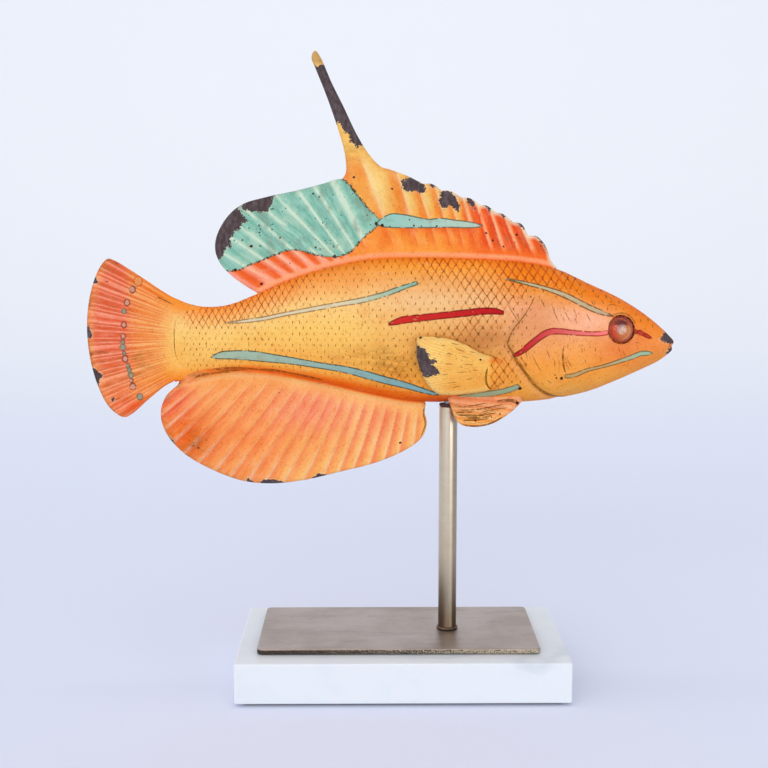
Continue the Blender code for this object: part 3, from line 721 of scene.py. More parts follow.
def build_ground(x, z):
    """Soft colour washes of the body, and where its dirt and its painted shade lie."""
    top, bottom, _ = sections(x)
    up = np.clip((z - bottom) / (top - bottom), 0, 1)

    def ramp(*stops):
        heights = [stop[0] for stop in stops]
        return np.column_stack([np.interp(up, heights, [rgb(*stop[1])[i] for stop in stops]) for i in range(3)])

    rear = ramp((0, (234, 92, 8)), (0.05, (242, 112, 16)), (0.11, (250, 172, 70)), (0.3, (249, 188, 90)),
                (0.5, (249, 200, 104)), (0.72, (249, 202, 124)), (0.86, (247, 168, 88)), (1, (247, 140, 38)))
    middle = ramp((0, (232, 90, 8)), (0.05, (240, 110, 16)), (0.10, (246, 158, 56)), (0.25, (242, 170, 68)),
                  (0.5, (243, 184, 100)), (0.72, (241, 192, 134)), (0.86, (241, 170, 92)), (0.94, (249, 162, 58)),
                  (1, (246, 140, 30)))
    head = ramp((0, (236, 150, 50)), (0.1, (242, 164, 66)), (0.3, (246, 160, 68)), (0.5, (242, 168, 108)),
                (0.68, (247, 178, 130)), (0.80, (245, 155, 66)), (0.9, (244, 134, 20)), (1, (238, 126, 14)))
    snout = ramp((0, (236, 154, 62)), (0.3, (236, 146, 66)), (0.6, (246, 142, 70)), (0.8, (244, 136, 36)),
                 (1, (240, 124, 28)))
    colour = lerp(rear, middle, soft(x, -55, -15))
    colour = lerp(colour, head, soft(x, 12, 34))
    colour = lerp(colour, snout, soft(x, 70, 90))
    # the grey-brown wash at (16, 166) is painted shade along the pectoral fin's upper border
    for tint, share, place in (
        ((253, 184, 150), 0.85, (62, 171, 12, 6)), ((250, 200, 110), 0.6, (-114, 162, 16, 10)),
        ((245, 124, 24), 0.7, (70, 185, 10, 5)), ((234, 114, 56), 0.75, (76, 158, 11, 7)),
        ((228, 160, 100), 0.6, (16, 166, 12, 8)), ((247, 160, 72), 0.5, (64, 156, 14, 8)),
        ((226, 166, 80), 0.6, (58, 139, 14, 4)), ((224, 144, 94), 0.75, (38, 172, 10, 10)),
        ((250, 152, 66), 0.5, (98, 165, 7, 6)),
    ):
        colour = lerp(colour, rgb(*tint), share * blob(x, z, *place))
    # the blobs at (8, 161) and (22, 150), along the pectoral fin's upper border and at its root, are painted shade
    # where the fin stands off the flank; the others darken patches behind the fin and on the flank and head
    grime_and_shade = (0.85 * blob(x, z, -26, 151, 13, 9)
             + 0.55 * blob(x, z, -45, 156, 14, 4)
             + 0.50 * blob(x, z, 8, 161, 16, 5)
             + 0.25 * blob(x, z, 40, 185, 20, 5)
             + 0.30 * blob(x, z, 22, 150, 8, 12))
    # painted shade along the pectoral fin's upper border, and round the rod's top under the belly
    smudge_and_shade = (0.55 * blob(x, z, 12, 163, 14, 6)
              + 0.6 * blob(x, z, 2, 133, 18, 3))
    return colour, np.column_stack([grime_and_shade, smudge_and_shade, np.zeros(len(x))])


def build_lattice(x, z):
    """Scale coordinates, whole along the scales' edges, and how strongly they are drawn."""
    along = np.arange(-135.0, 116.0)
    widths = np.interp(along, (-125, -95, -40, 5, 60), (2.9, 3.1, 3.4, 3.9, 4.0))
    run = np.interp(x, along, np.cumsum(1 / widths))
    tall = np.interp(x, (-125, -95, -40, 5, 60), (4.9, 5.2, 5.4, 5.7, 5.5))
    top, bottom, _ = sections(x)
    up = (z - bottom) / (top - bottom)
    strength = (0.16 + 0.70 * soft(up, 0.70, 0.93) * soft(x, -30, 12) + 0.74 * soft(up, 0.60, 0.85) * soft(x, -55, -86)
                + 0.10 * soft(x, -60, -95)
                + 0.50 * blob(x, z, 18, 180, 17, 11)
                + 0.45 * blob(x, z, 4, 166, 14, 8)
                + 0.60 * blob(x, z, 25, 149, 6, 9)
                + 0.40 * blob(x, z, -24, 147, 12, 9)
                + 0.30 * soft(up, 0.86, 0.97) * soft(x, -90, -60))
    ahead = soft(x, 28, 42) * soft(up, 0.90, 0.74)
    strength = strength * (1 - 0.8 * ahead) * between(1.0, 0.30, soft(x, 50, 64)) * soft(x, -128, -118)
    strength[(up < 0.10)] *= 0.3
    return np.column_stack([run + (z - 160) / tall, run - (z - 160) / tall, np.clip(strength, 0, 1.1)])


def pocket(points, centre, axis, radius, floor):
    """Turns the skin inwards into a round pocket: a clean rim at `radius`, then a flat floor `floor` mm along axis."""
    centre, axis = np.array(centre, float), np.array(axis, float)
    axis /= np.linalg.norm(axis)
    offset = points - centre
    rise = offset @ axis
    flat = offset - rise[:, None] * axis
    away = np.linalg.norm(flat, axis=1)
    near = np.abs(rise) < POCKET_REACH
    lip = near & (np.abs(away - radius) < POCKET_LIP)
    points[lip] = centre + rise[lip, None] * axis + flat[lip] * (radius / away[lip])[:, None]
    inner = near & (away <= radius - POCKET_LIP)
    points[inner] = centre - floor * axis + flat[inner] * ((radius - POCKET_PLAY) / (radius - POCKET_LIP))


def eye_frame(hand):
    """Centre and outward axis of the eye's CAD disc."""
    side = "right" if hand < 0 else "left"
    low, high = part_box("eye_disc_" + side)
    centre = (np.array(low) + np.array(high)) / 2 / MM - (AXIS_X, 0, 0)
    return centre, np.array((sin(EYE_TURN) * cos(EYE_TILT), hand * cos(EYE_TURN) * cos(EYE_TILT), sin(EYE_TILT)))


def c_line():
    """The line where the skin ends on the tail fin."""
    around = np.linspace(radians(96), radians(264), 60)
    c, s = np.cos(around), np.sin(around)
    return np.column_stack([C_CENTRE[0] + C_WIDE * np.sign(c) * np.abs(c) ** (2 / C_POWER),
                            C_CENTRE[1] + C_TALL * np.sign(s) * np.abs(s) ** (2 / C_POWER)])


def close_ends(points, faces, first, last):
    """Closes a tube's two end rings with smaller rings down to a point; also says which point each new one copies."""
    blocks, source, total = [points], [np.arange(len(points))], len(points)
    for ring in (first, last):
        heart, outer = points[ring].mean(0), ring
        for size in (0.75, 0.5, 0.25, 0.0):
            if size > 0:
                block, inner = heart + (points[ring] - heart) * size, np.arange(total, total + len(ring))
                corners = [outer, np.roll(outer, -1), np.roll(inner, -1), inner]
            else:
                block, inner = heart[None], np.full(len(ring), total)
                corners = [outer, np.roll(outer, -1), inner]
            made = np.stack(corners, -1)
            faces += (made[:, ::-1] if ring is first else made).tolist()
            blocks.append(block)
            source.append(ring[:len(block)])
            total, outer = total + len(block), inner
    return np.vstack(blocks), np.concatenate(source)


def build_body():
    """The skin: rings of points round the stations, raised along the normals, with the mouth and the sockets let in."""
    x = np.concatenate([np.arange(SNOUT_END, SNOUT_BACK, -SNOUT_STEP), np.arange(SNOUT_BACK, TAIL_END, -BODY_STEP),
                        [TAIL_END]])
    sides = BODY_SIDES
    top, bottom, half = sections(x)
    angle = 2 * pi * np.arange(sides) / sides
    across, up = np.cos(angle), np.sin(angle)
    power = 2 / ROUNDNESS
    middle = bottom + CROWN * (top - bottom)
    reach = np.where(up[None] > 0, (top - middle)[:, None], (middle - bottom)[:, None])
    grid = np.zeros((len(x), sides, 3))
    grid[..., 0] = x[:, None]
    grid[..., 1] = half[:, None] * np.sign(across) * np.abs(across) ** power
    grid[..., 2] = middle[:, None] + reach * np.sign(up) * np.abs(up) ** power

    # the skin thins towards the tail fin, which comes forward under it to a C-shaped line
    c_level = ((np.abs(grid[..., 0] - C_CENTRE[0]) / C_WIDE) ** C_POWER
               + (np.abs(grid[..., 2] - C_CENTRE[1]) / C_TALL) ** C_POWER) ** (1 / C_POWER)
    behind = soft(grid[..., 0], -106, -112)
    thin = between(1.0, np.interp(c_level, (0.55, 0.99, 1.02, 1.1), (1.0, 0.47, 0.42, 0.20)), behind)
    grid[..., 1] *= thin

    spots = grid[..., [0, 2]].reshape(-1, 2)
    flat_x, flat_z = spots[:, 0], spots[:, 1]
    normal = np.cross(np.gradient(grid, axis=0), (np.roll(grid, -1, 1) - np.roll(grid, 1, 1)) / 2)
    normal /= np.maximum(np.linalg.norm(normal, axis=2, keepdims=True), 1e-9)
    if normal[len(x) // 2, 0, 1] < 0:
        normal = -normal

    lattice = build_lattice(flat_x, flat_z)
    puff = np.abs(np.sin(pi * lattice[:, 0]) * np.sin(pi * lattice[:, 1])) ** 0.6
    relief = 0.16 * np.clip(lattice[:, 2] + 0.15, 0, 1) * (puff - 0.5)
    gill = spline(seen(GILL_UPPER + GILL_LOWER[1:]))
    gap, side, along = nearest(spots, gill, 10.0)
    deep = np.interp(along, (0, 0.12, 0.45, 0.9, 1), (0.0, 0.35, 0.9, 0.8, 0.0))
    ahead_of_it = np.where(side > 0, gap, -gap)
    relief += deep * (0.55 * soft(ahead_of_it, -0.5, 0.7) * soft(ahead_of_it, 9.0, 1.0)
                      - 0.75 * np.exp(-((ahead_of_it + 0.9) / 0.8) ** 2))
    gap, _, _ = nearest(spots, spline(seen(CHEEK_CREASE)), 4.0)
    relief -= 0.30 * np.exp(-(gap / 0.6) ** 2)
    for band in (REAR_STRIPE, LOW_STRIPE, HEAD_STRIPE, RED_STRIPE, JAW_STRIPE, CHEEK_STRIPE, FRONT_STRIPE):
        depth = depth_in(spots, seen(band), 4.0)
        relief += 0.10 * soft(depth, -0.2, 0.5) - 0.10 * np.exp(-(depth / 0.45) ** 2)
    wave = np.sin(flat_x * 0.21 + 1.3 * np.sin(flat_z * 0.17)) * np.sin(flat_z * 0.29 + 0.5)
    relief += 0.12 * wave * soft(grid[..., 1].ravel() ** 2, 4, 40)
    points = grid.reshape(-1, 3) + relief[:, None] * normal.reshape(-1, 3)

    # lips: a notch through the snout, the lower one a little shorter
    lower = soft(points[:, 2], MOUTH[1] + 0.2, MOUTH[1] - 0.4) * soft(points[:, 0], 97, 104)
    points[:, 0] -= LIP_SET_BACK * lower
    gap_up = points[:, 2] - MOUTH[1]
    slope = np.where(gap_up > 0, MOUTH_UP, MOUTH_DOWN)
    limit = MOUTH[0] + np.abs(gap_up) / slope
    points[:, 0] = np.minimum(points[:, 0], np.maximum(limit, MOUTH[0]))

    for hand in (-1, 1):
        centre, axis = eye_frame(hand)
        pocket(points, centre, axis, EYE_R + SOCKET_GAP, SOCKET_DEPTH)
    belly = points[:, 2] < 145
    low = points[belly]
    pocket(low, (0, 0, BELLY_Z), (0, 0, -1), SLEEVE_HOLE, SLEEVE_END - BELLY_Z)
    points[belly] = low

    index = np.arange(len(points)).reshape(len(x), sides)
    right = np.roll(index, -1, 1)
    faces = np.stack([index[:-1], right[:-1], right[1:], index[1:]], -1).reshape(-1, 4).tolist()
    fields = blank_fields(len(points))
    points, source = close_ends(points, faces, index[0], index[-1])

    colour, fields["dirt_and_shade"] = build_ground(flat_x, flat_z)
    # painted shade along the gill line, put with the grime, and a painted highlight about 2 mm behind it
    shade = deep * np.exp(-((ahead_of_it - 0.2) / 1.7) ** 2)
    fields["dirt_and_shade"][:, 0] = np.maximum(fields["dirt_and_shade"][:, 0], 1.1 * shade)
    lit = deep * np.exp(-((ahead_of_it + 2.2) / 0.8) ** 2)
    fields["ground"] = opaque(lerp(colour, rgb(244, 186, 140), 0.28 * lit))
    fields["lattice"] = lattice
    for band, front, rear, outlined, turn in (
        (REAR_STRIPE, (140, 182, 160), (222, 206, 168), 0.9, 0.55),
        (JAW_STRIPE, (160, 192, 160), (192, 160, 104), 0.8, 0.35),
        (RED_STRIPE, (190, 22, 26), (208, 40, 36), 1.0, 0.0), (LOW_STRIPE, (128, 172, 174), (166, 186, 160), 1.0, 0.0),
        (FRONT_STRIPE, (154, 170, 136), (160, 164, 118), 0.7, 0.0),
        (HEAD_STRIPE, (198, 172, 134), (196, 184, 144), 1.0, 0.0),
        (CHEEK_STRIPE, (248, 128, 120), (196, 26, 34), 1.0, 0.0),
        *((dash, (206, 70, 44), (196, 44, 36), 0.9, 0.0) for dash in NOSE_DASHES),
    ):
        add_trim(fields, spots, seen(band), front, rear, outlined, turn)
    socket, outward = eye_frame(-1)
    rim = (socket + outward * EYE_RIM)[[0, 2]]
    lid = np.array([rim + LID_R * np.array((cos(radians(a)), sin(radians(a)))) for a in range(16, 130, 6)])
    for line, half_wide, ends, strength in (
        (spline(seen(GILL_UPPER)), (0.20, 0.28, 0.35), 0.04, 1.0),
        (spline(seen(GILL_LOWER)), (0.40, 0.80, 0.72, 1.10, 0.5), 0.04, 0.8),
        (spline(seen(CHEEK_CREASE)), (0.25, 0.42, 0.3), 0.12, 1.0), (c_line(), (0.36, 0.44, 0.42), 0.04, 1.0),
        (spline(seen(ANAL_SEAM)), (0.3, 0.6, 0.45, 0.3, 0.65, 0.35, 0.6, 0.3), 0.04, 0.85), (lid, 0.24, 0.1, 0.9),
    ):
        add_ink(fields, spots, line, half_wide, ends, strength)
    for line in CHEEK_SCRATCHES:
        add_ink(fields, spots, spline(seen(line)), 0.18, 0.3, 0.9)
    add_dots(fields, spots, seen_dots(((33.5, 138.6, 1.0), (53, 143.3, 0.9), (50.5, 143.5, 0.6), (1.5, 132.6, 2.2))))
    add_chips(fields, spots, [seen(chip) for chip in MOUTH_CHIPS])
    fields = {key: values[source] for key, values in fields.items()}
    make("fish_skin", points, faces, "fish", ["fish_body"], paint("skin_paint", scales=True), fields)


# ---------------------------------------------------------------- fins

DORSAL_EDGE = [
    [(-88.5, 183.0), (-95, 187), (-101, 191.5), (-106, 197), (-108.3, 203.5), (-107, 211), (-102, 219), (-95, 224.4),
     (-84, 227.6), (-70, 230.6), (-59, 233.4), (-53, 235.3), (-49.3, 235.8)],
    [(-49.3, 235.8), (-47.6, 239.5), (-48.3, 247.5), (-51, 257.5), (-56, 272), (-61, 284.5), (-63.2, 290.2),
     (-61.6, 293.4), (-58.8, 290), (-54, 279), (-48.5, 268), (-43, 256.5), (-37.5, 247.5), (-32, 241.6),
     (-27, 239.9), (-19, 236.9), (-12.2, 233.5)],
    [(-12.2, 233.5), (-8, 233.4), (-3.6, 230.4)], [(-3.6, 230.4), (0.5, 230.2), (5.5, 227.3)],
    [(5.5, 227.3), (9.5, 226.9), (14, 223.9)], [(14, 223.9), (17.5, 223.4), (21.5, 220.4)],
    [(21.5, 220.4), (25, 219.6), (29.5, 216)], [(29.5, 216), (33.5, 215), (36.5, 209.8)],
    [(36.5, 209.8), (40.8, 209.3), (44.8, 204.8), (47.2, 198.6), (50, 194.8)],
]
ANAL_EDGE = [
    [(-10.6, 131.4), (-11, 127), (-10, 122), (-12.6, 115), (-21, 108.8), (-35, 103), (-52, 98.7), (-68, 95),
     (-84, 93.4), (-98, 95), (-112, 100.4), (-124, 107.6), (-132, 116.6), (-135, 126), (-132.6, 134.6),
     (-126.6, 140.6)],
]
TAIL_EDGE = [
    [(-127.6, 181.0), (-134, 184.9), (-142, 190.4), (-149, 195), (-155, 198.5), (-158.8, 198.8), (-163, 193),
     (-166.3, 183.5), (-168.1, 173), (-168.3, 162), (-167, 151), (-164, 140), (-159.5, 130.6), (-153, 125.3),
     (-148, 127), (-140, 134), (-133, 139.6), (-127.6, 142.6)],
]
PELVIC_EDGE = [
    [(-1.0, 135.5), (0.4, 131.5), (1.9, 127.4), (4.4, 123.4), (8.5, 121.8), (14.5, 121.8), (21, 123.6),
     (27.5, 127.6), (31.8, 131.4), (34, 134.0)],
]
DORSAL_RAYS = [  # free edge to root, from the rear forwards
    ((-106, 194), (-90, 182)), ((-108.2, 203), (-80, 187)), ((-104, 210.5), (-72, 189)), ((-102, 217.5), (-68, 192)),
    ((-96, 223), (-62, 194)), ((-90, 226), (-56, 196)), ((-81, 228), (-50, 197)), ((-71, 231), (-46.5, 198)),
    ((-63, 232.5), (-41, 199)), ((-55, 234.5), (-36.5, 200)), ((-43, 250), (-24, 201)), ((-24.5, 239), (-13, 200)),
    ((-15.5, 235), (-4, 200)), ((-7, 233), (2.5, 200)), ((-1, 230.5), (8, 200)), ((5.5, 228.5), (14, 199)),
    ((11.5, 226), (20.5, 199)), ((17.5, 224), (26, 199)), ((24, 221), (33.5, 198)), ((31.5, 216.5), (40.5, 197)),
    ((43, 210), (48, 196)), ((56, 197), (54, 190)),
]
ANAL_RAYS = [  # free edge to root, from the front rearwards
    ((-10, 116), (-9.5, 131)), ((-17, 112), (-14, 132)), ((-23.5, 109), (-18.5, 133)), ((-30, 106), (-23, 134)),
    ((-37, 103.5), (-28, 135)), ((-44, 101.5), (-33, 136)), ((-51, 99.5), (-38, 137)), ((-58, 97.5), (-43, 138)),
    ((-67, 95.5), (-48, 139)), ((-76, 94.5), (-53.5, 140)), ((-85, 94), (-58.5, 141)), ((-93, 94.5), (-63.5, 142)),
    ((-101.5, 96.5), (-69, 143)), ((-109, 99), (-75, 144)), ((-117, 103), (-81.5, 145.5)),
    ((-124, 107.5), (-88, 146.5)), ((-129.5, 113), (-95, 147)), ((-133.5, 119.5), (-102, 147)),
    ((-135.5, 126), (-110, 146)), ((-134, 133), (-119, 144)), ((-130, 139), (-127, 142)),
]
PANEL = np.vstack([
    spline([(-112, 193), (-99, 193.8), (-94, 195.5), (-87, 198.5), (-80, 201), (-75, 203), (-69, 203), (-64, 201.5),
            (-58, 200.3), (-53, 200), (-48, 201), (-44, 204), (-40, 208.5), (-36, 212), (-32.5, 214.6)], 1.5),
    spline([(-31.5, 216.6), (-34.5, 219.5), (-38, 223), (-42, 228), (-47, 234), (-49.6, 236.2), (-52, 242)], 1.5),
    [(-80, 242), (-116, 226), (-118, 200)],
])
PANEL_STRIPE = stripe([(-33.8, 215.5), (-31, 217.9), (-27, 219.8), (-22, 219.6), (-16, 218.5), (-10, 217.3),
                       (-4, 217.8), (2, 217),
                       (10, 216), (15, 214.6)],
                      [(-33.8, 215.1), (-30, 213.8), (-20, 213.4), (-8, 213.5), (0, 213.6), (10, 213.4), (15, 214.0)])
DORSAL_CHIPS = (
    [(-106.5, 198.6), (-104.5, 201), (-103, 205), (-100.5, 204), (-101.5, 207.5), (-99, 211.5), (-96.5, 213),
     (-95.5, 215.5), (-93, 216.3), (-95, 219), (-97.5, 222.5), (-99, 226), (-112, 222), (-114, 200), (-110, 196)],
    [(-95.4, 221.7), (-92, 221), (-88, 220.5), (-84.5, 220.7), (-83, 222), (-81.8, 225), (-79.6, 231), (-88, 231),
     (-96, 227)],
    [(-22.5, 234.8), (-21.5, 231), (-19, 229.6), (-16, 230.2), (-12.5, 229), (-11, 231), (-11.5, 233), (-15, 235.3),
     (-18, 236.7)],
    [(-9.4, 233.2), (-8, 231.8), (-6.4, 232.4), (-7.6, 234.4)],
    [(-5, 226), (-4.3, 223.5), (-2.5, 221.8), (-0.5, 224), (2, 222.5), (4, 221), (4.8, 223), (3, 227.5), (0.5, 230),
     (-4, 230.6)],
    [(7.3, 227.4), (8.3, 225.3), (10, 222.5), (11.5, 221.8), (11.4, 225), (10.2, 228)],
    [(15.8, 223.6), (17.3, 222), (18.5, 219.6), (19.2, 222), (18, 224.6)],
    [(23.4, 219.9), (25.2, 218.0), (26.4, 218.8), (25, 220.6)],
    [(31.4, 216.2), (32.3, 214.4), (34.9, 212.4), (35.2, 213.4), (33.4, 216)],
    [(39.6, 209.9), (41.4, 207.9), (44.2, 204.6), (45.4, 205), (42.6, 209.6)],
    [(-53, 259.5), (-51, 261.3), (-49, 259), (-48.5, 257), (-46, 255.5), (-45.5, 252.5), (-43.5, 251.5),
     (-42.5, 249.5), (-41, 250.8), (-37, 253), (-50, 284), (-57.6, 287.2), (-60.5, 286.4), (-66, 288), (-60, 268)],
)
ANAL_CHIPS = (
    [(-134.5, 117), (-132.4, 117.2), (-129.2, 114.4), (-128.6, 112.4), (-134, 111)],
    [(-125, 107.6), (-124, 108), (-121.8, 106.2), (-122.6, 104)],
    [(-95.6, 94), (-94.6, 96.2), (-93, 95.4), (-91.4, 94.2), (-92, 92)],
    [(-88.6, 94.4), (-87, 95.6), (-82, 95.6), (-77, 94.2), (-76, 91), (-88, 91)],
    [(-66.6, 94.4), (-64.6, 96), (-61.5, 98.3), (-58.8, 98.4), (-56.4, 97), (-60, 94), (-66, 93)],
)
TAIL_CHIPS = (
    [(-170, 168), (-167.4, 167.8), (-166.4, 165.6), (-165.6, 163.2), (-166.6, 162.4), (-170, 162.6)],
    [(-167.6, 148.4), (-165.4, 148.6), (-163.6, 146.8), (-161.4, 145.4), (-161.8, 144), (-163, 143.4), (-163.4, 140.4),
     (-164.4, 137.4), (-168, 138)],
    [(-165.4, 191.4), (-163.4, 190.6), (-162.6, 188.2), (-164.2, 187.6), (-166, 188)],
    [(-158.2, 133.6), (-156.4, 134.8), (-155.6, 133.8), (-157.2, 132.6)],
)
RING_PAINTS = {  # tint and strength of the outline
    "faint": ((240, 150, 84), 0.6), "ringed": ((216, 152, 128), 1.0), "plain": ((150, 152, 128), 0.6),
}
TAIL_RINGS = [  # x, z, radius, paint
    (-144, 188.8, 1.9, "faint"), (-146.7, 185, 1.4, "ringed"), (-149.3, 179, 1.3, "ringed"),
    (-150.8, 175, 1.1, "plain"), (-151, 168.7, 1.2, "ringed"), (-151.5, 163.3, 1.1, "ringed"),
    (-151.7, 160.6, 0.9, "plain"), (-151.8, 158.2, 1.3, "plain"), (-151.2, 155.4, 0.8, "plain"),
    (-150.8, 152.8, 1.3, "ringed"), (-149.6, 149.6, 0.9, "plain"), (-149, 147.6, 1.0, "plain"),
    (-148.3, 145, 1.2, "plain"), (-148.2, 142.6, 0.9, "ringed"), (-147.5, 139.8, 1.4, "ringed"),
    (-144.3, 135, 1.4, "plain"),
]
TAIL_PIVOT = (-98.5, 162.4)
TAIL_RAYS = (-33.0, 36.0, 30)  # first and last angle in degrees, and how many
EDGE_ROWS = (0.10, 0.35, 0.75, 1.3)  # rows of points this far inside a fin's edge
ON_EDGE = 1e-4
FIN_SPACING, TAIL_SPACING, PELVIC_SPACING = 0.62, 0.52, 0.5


def outline_of(runs):
    """One line through runs that meet in corners."""
    return np.vstack([spline(run, 0.8)[:-1] for run in runs] + [np.array(runs[-1][-1:], float)])


def fin_mesh(outline, rows, spacing):
    """Points and triangles that fill an outline: rows that follow it, then an even grid."""
    closed = np.vstack([outline, outline[:1]])
    ahead, back = np.roll(outline, -1, 0), np.roll(outline, 1, 0)
    run = ahead - back
    run /= np.linalg.norm(run, axis=1, keepdims=True)
    area = float(np.sum(outline[:, 0] * ahead[:, 1] - ahead[:, 0] * outline[:, 1]))
    inward = np.column_stack([-run[:, 1], run[:, 0]]) * (1 if area > 0 else -1)
    kept = [outline]
    for row in rows:
        moved = outline + inward * row
        gap, _, _ = nearest(moved, closed)
        kept.append(moved[(gap > row * 0.93) & (depth_in(moved, outline, FAR) > 0)])
    low, high = outline.min(0), outline.max(0)
    tall = spacing * 0.866
    columns, levels = np.arange(low[0], high[0], spacing), np.arange(low[1], high[1], tall)
    grid_x, grid_z = np.meshgrid(columns, levels)
    grid_x[1::2] += spacing / 2
    grid = np.column_stack([grid_x.ravel(), grid_z.ravel()])
    kept.append(grid[depth_in(grid, outline, FAR) > rows[-1] + spacing * 0.6])
    points = np.vstack(kept)
    count = len(outline)
    edges = [(i, (i + 1) % count) for i in range(count)]
    made, _, faces, _, _, _ = delaunay_2d_cdt([Vector(p) for p in points.tolist()], edges, [list(range(count))], 1,
                                              1e-6)
    return np.array([tuple(v) for v in made]), faces


def guide_rays(spots, guides):
    """A coordinate that is whole on each guide line and even between them."""
    edge, root = np.array([g[0] for g in guides], float), np.array([g[1] for g in guides], float)
    run = root - edge
    run /= np.linalg.norm(run, axis=1, keepdims=True)
    offset = spots[:, None] - edge[None]
    side = run[None, :, 0] * offset[..., 1] - run[None, :, 1] * offset[..., 0]
    passed = np.clip((side > 0).sum(1) - 1, 0, len(guides) - 2)
    rows = np.arange(len(spots))
    one, other = side[rows, passed], side[rows, passed + 1]
    return passed + np.clip(one / (one - other), 0, 1)


def fan_rays(spots, pivot, first, last, count):
    """Ray coordinate round a pivot: 0 at angle `first` and `count` at angle `last`, in degrees."""
    angle = np.degrees(np.arctan2(-(spots[:, 1] - pivot[1]), -(spots[:, 0] - pivot[0])))
    return (angle - first) / (last - first) * count


def build_sheet(name, runs, root, spacing, shape, material, side="", hand=0):
    """A fin of even sides about its middle plane; `shape` gives its half thickness and paint fields.

    With a hand it is one of the pelvic pair and leans out from the belly.
    """
    outline = np.vstack([outline_of(runs), np.array(root, float)])
    spots, faces = fin_mesh(outline, EDGE_ROWS, spacing)
    edge, _, _ = nearest(spots, np.vstack([outline, outline[:1]]))
    half, fields = shape(spots, edge)
    rim = edge < ON_EDGE
    half = np.where(rim, 0.0, half)
    inner = np.flatnonzero(~rim)
    far_side = np.arange(len(spots))
    far_side[inner] = len(spots) + np.arange(len(inner))
    near_points = np.column_stack([spots[:, 0], -half, spots[:, 1]])
    far_points = np.column_stack([spots[:, 0], half, spots[:, 1]])[inner]
    points = np.vstack([near_points, far_points])
    flat = spots[np.array(faces[0])]
    turn = np.cross(flat[1] - flat[0], flat[2] - flat[0])
    front = [tuple(f) if turn > 0 else tuple(f[::-1]) for f in faces]
    back = [tuple(far_side[i] for i in f[::-1]) for f in front]
    fields = {key: np.concatenate([values, values[inner]]) for key, values in fields.items()}
    if hand:
        across, up = points[:, 1].copy(), points[:, 2] - PELVIC_ROOT_Z
        lean = hand * PELVIC_SPLAY
        points[:, 1] = hand * PELVIC_OUT + across * cos(lean) - up * sin(lean)
        points[:, 2] = PELVIC_ROOT_Z + across * sin(lean) + up * cos(lean)
    make(name + "_painted" + side, points, front + back, "fish", [name + side], material, fields)


def rounded(edge, radius, full):
    """Half thickness at a distance from the edge, round at the rim."""
    into = np.clip(edge / radius, 0, 1)
    return full * np.sqrt(1 - (1 - into) ** 2)


def sawtooth(ray, sharp=0.12):
    """Rises over each ray's band and drops back at its crest."""
    wave = ray % 1.0
    return np.where(wave < 1 - sharp, wave / (1 - sharp), (1 - wave) / sharp)


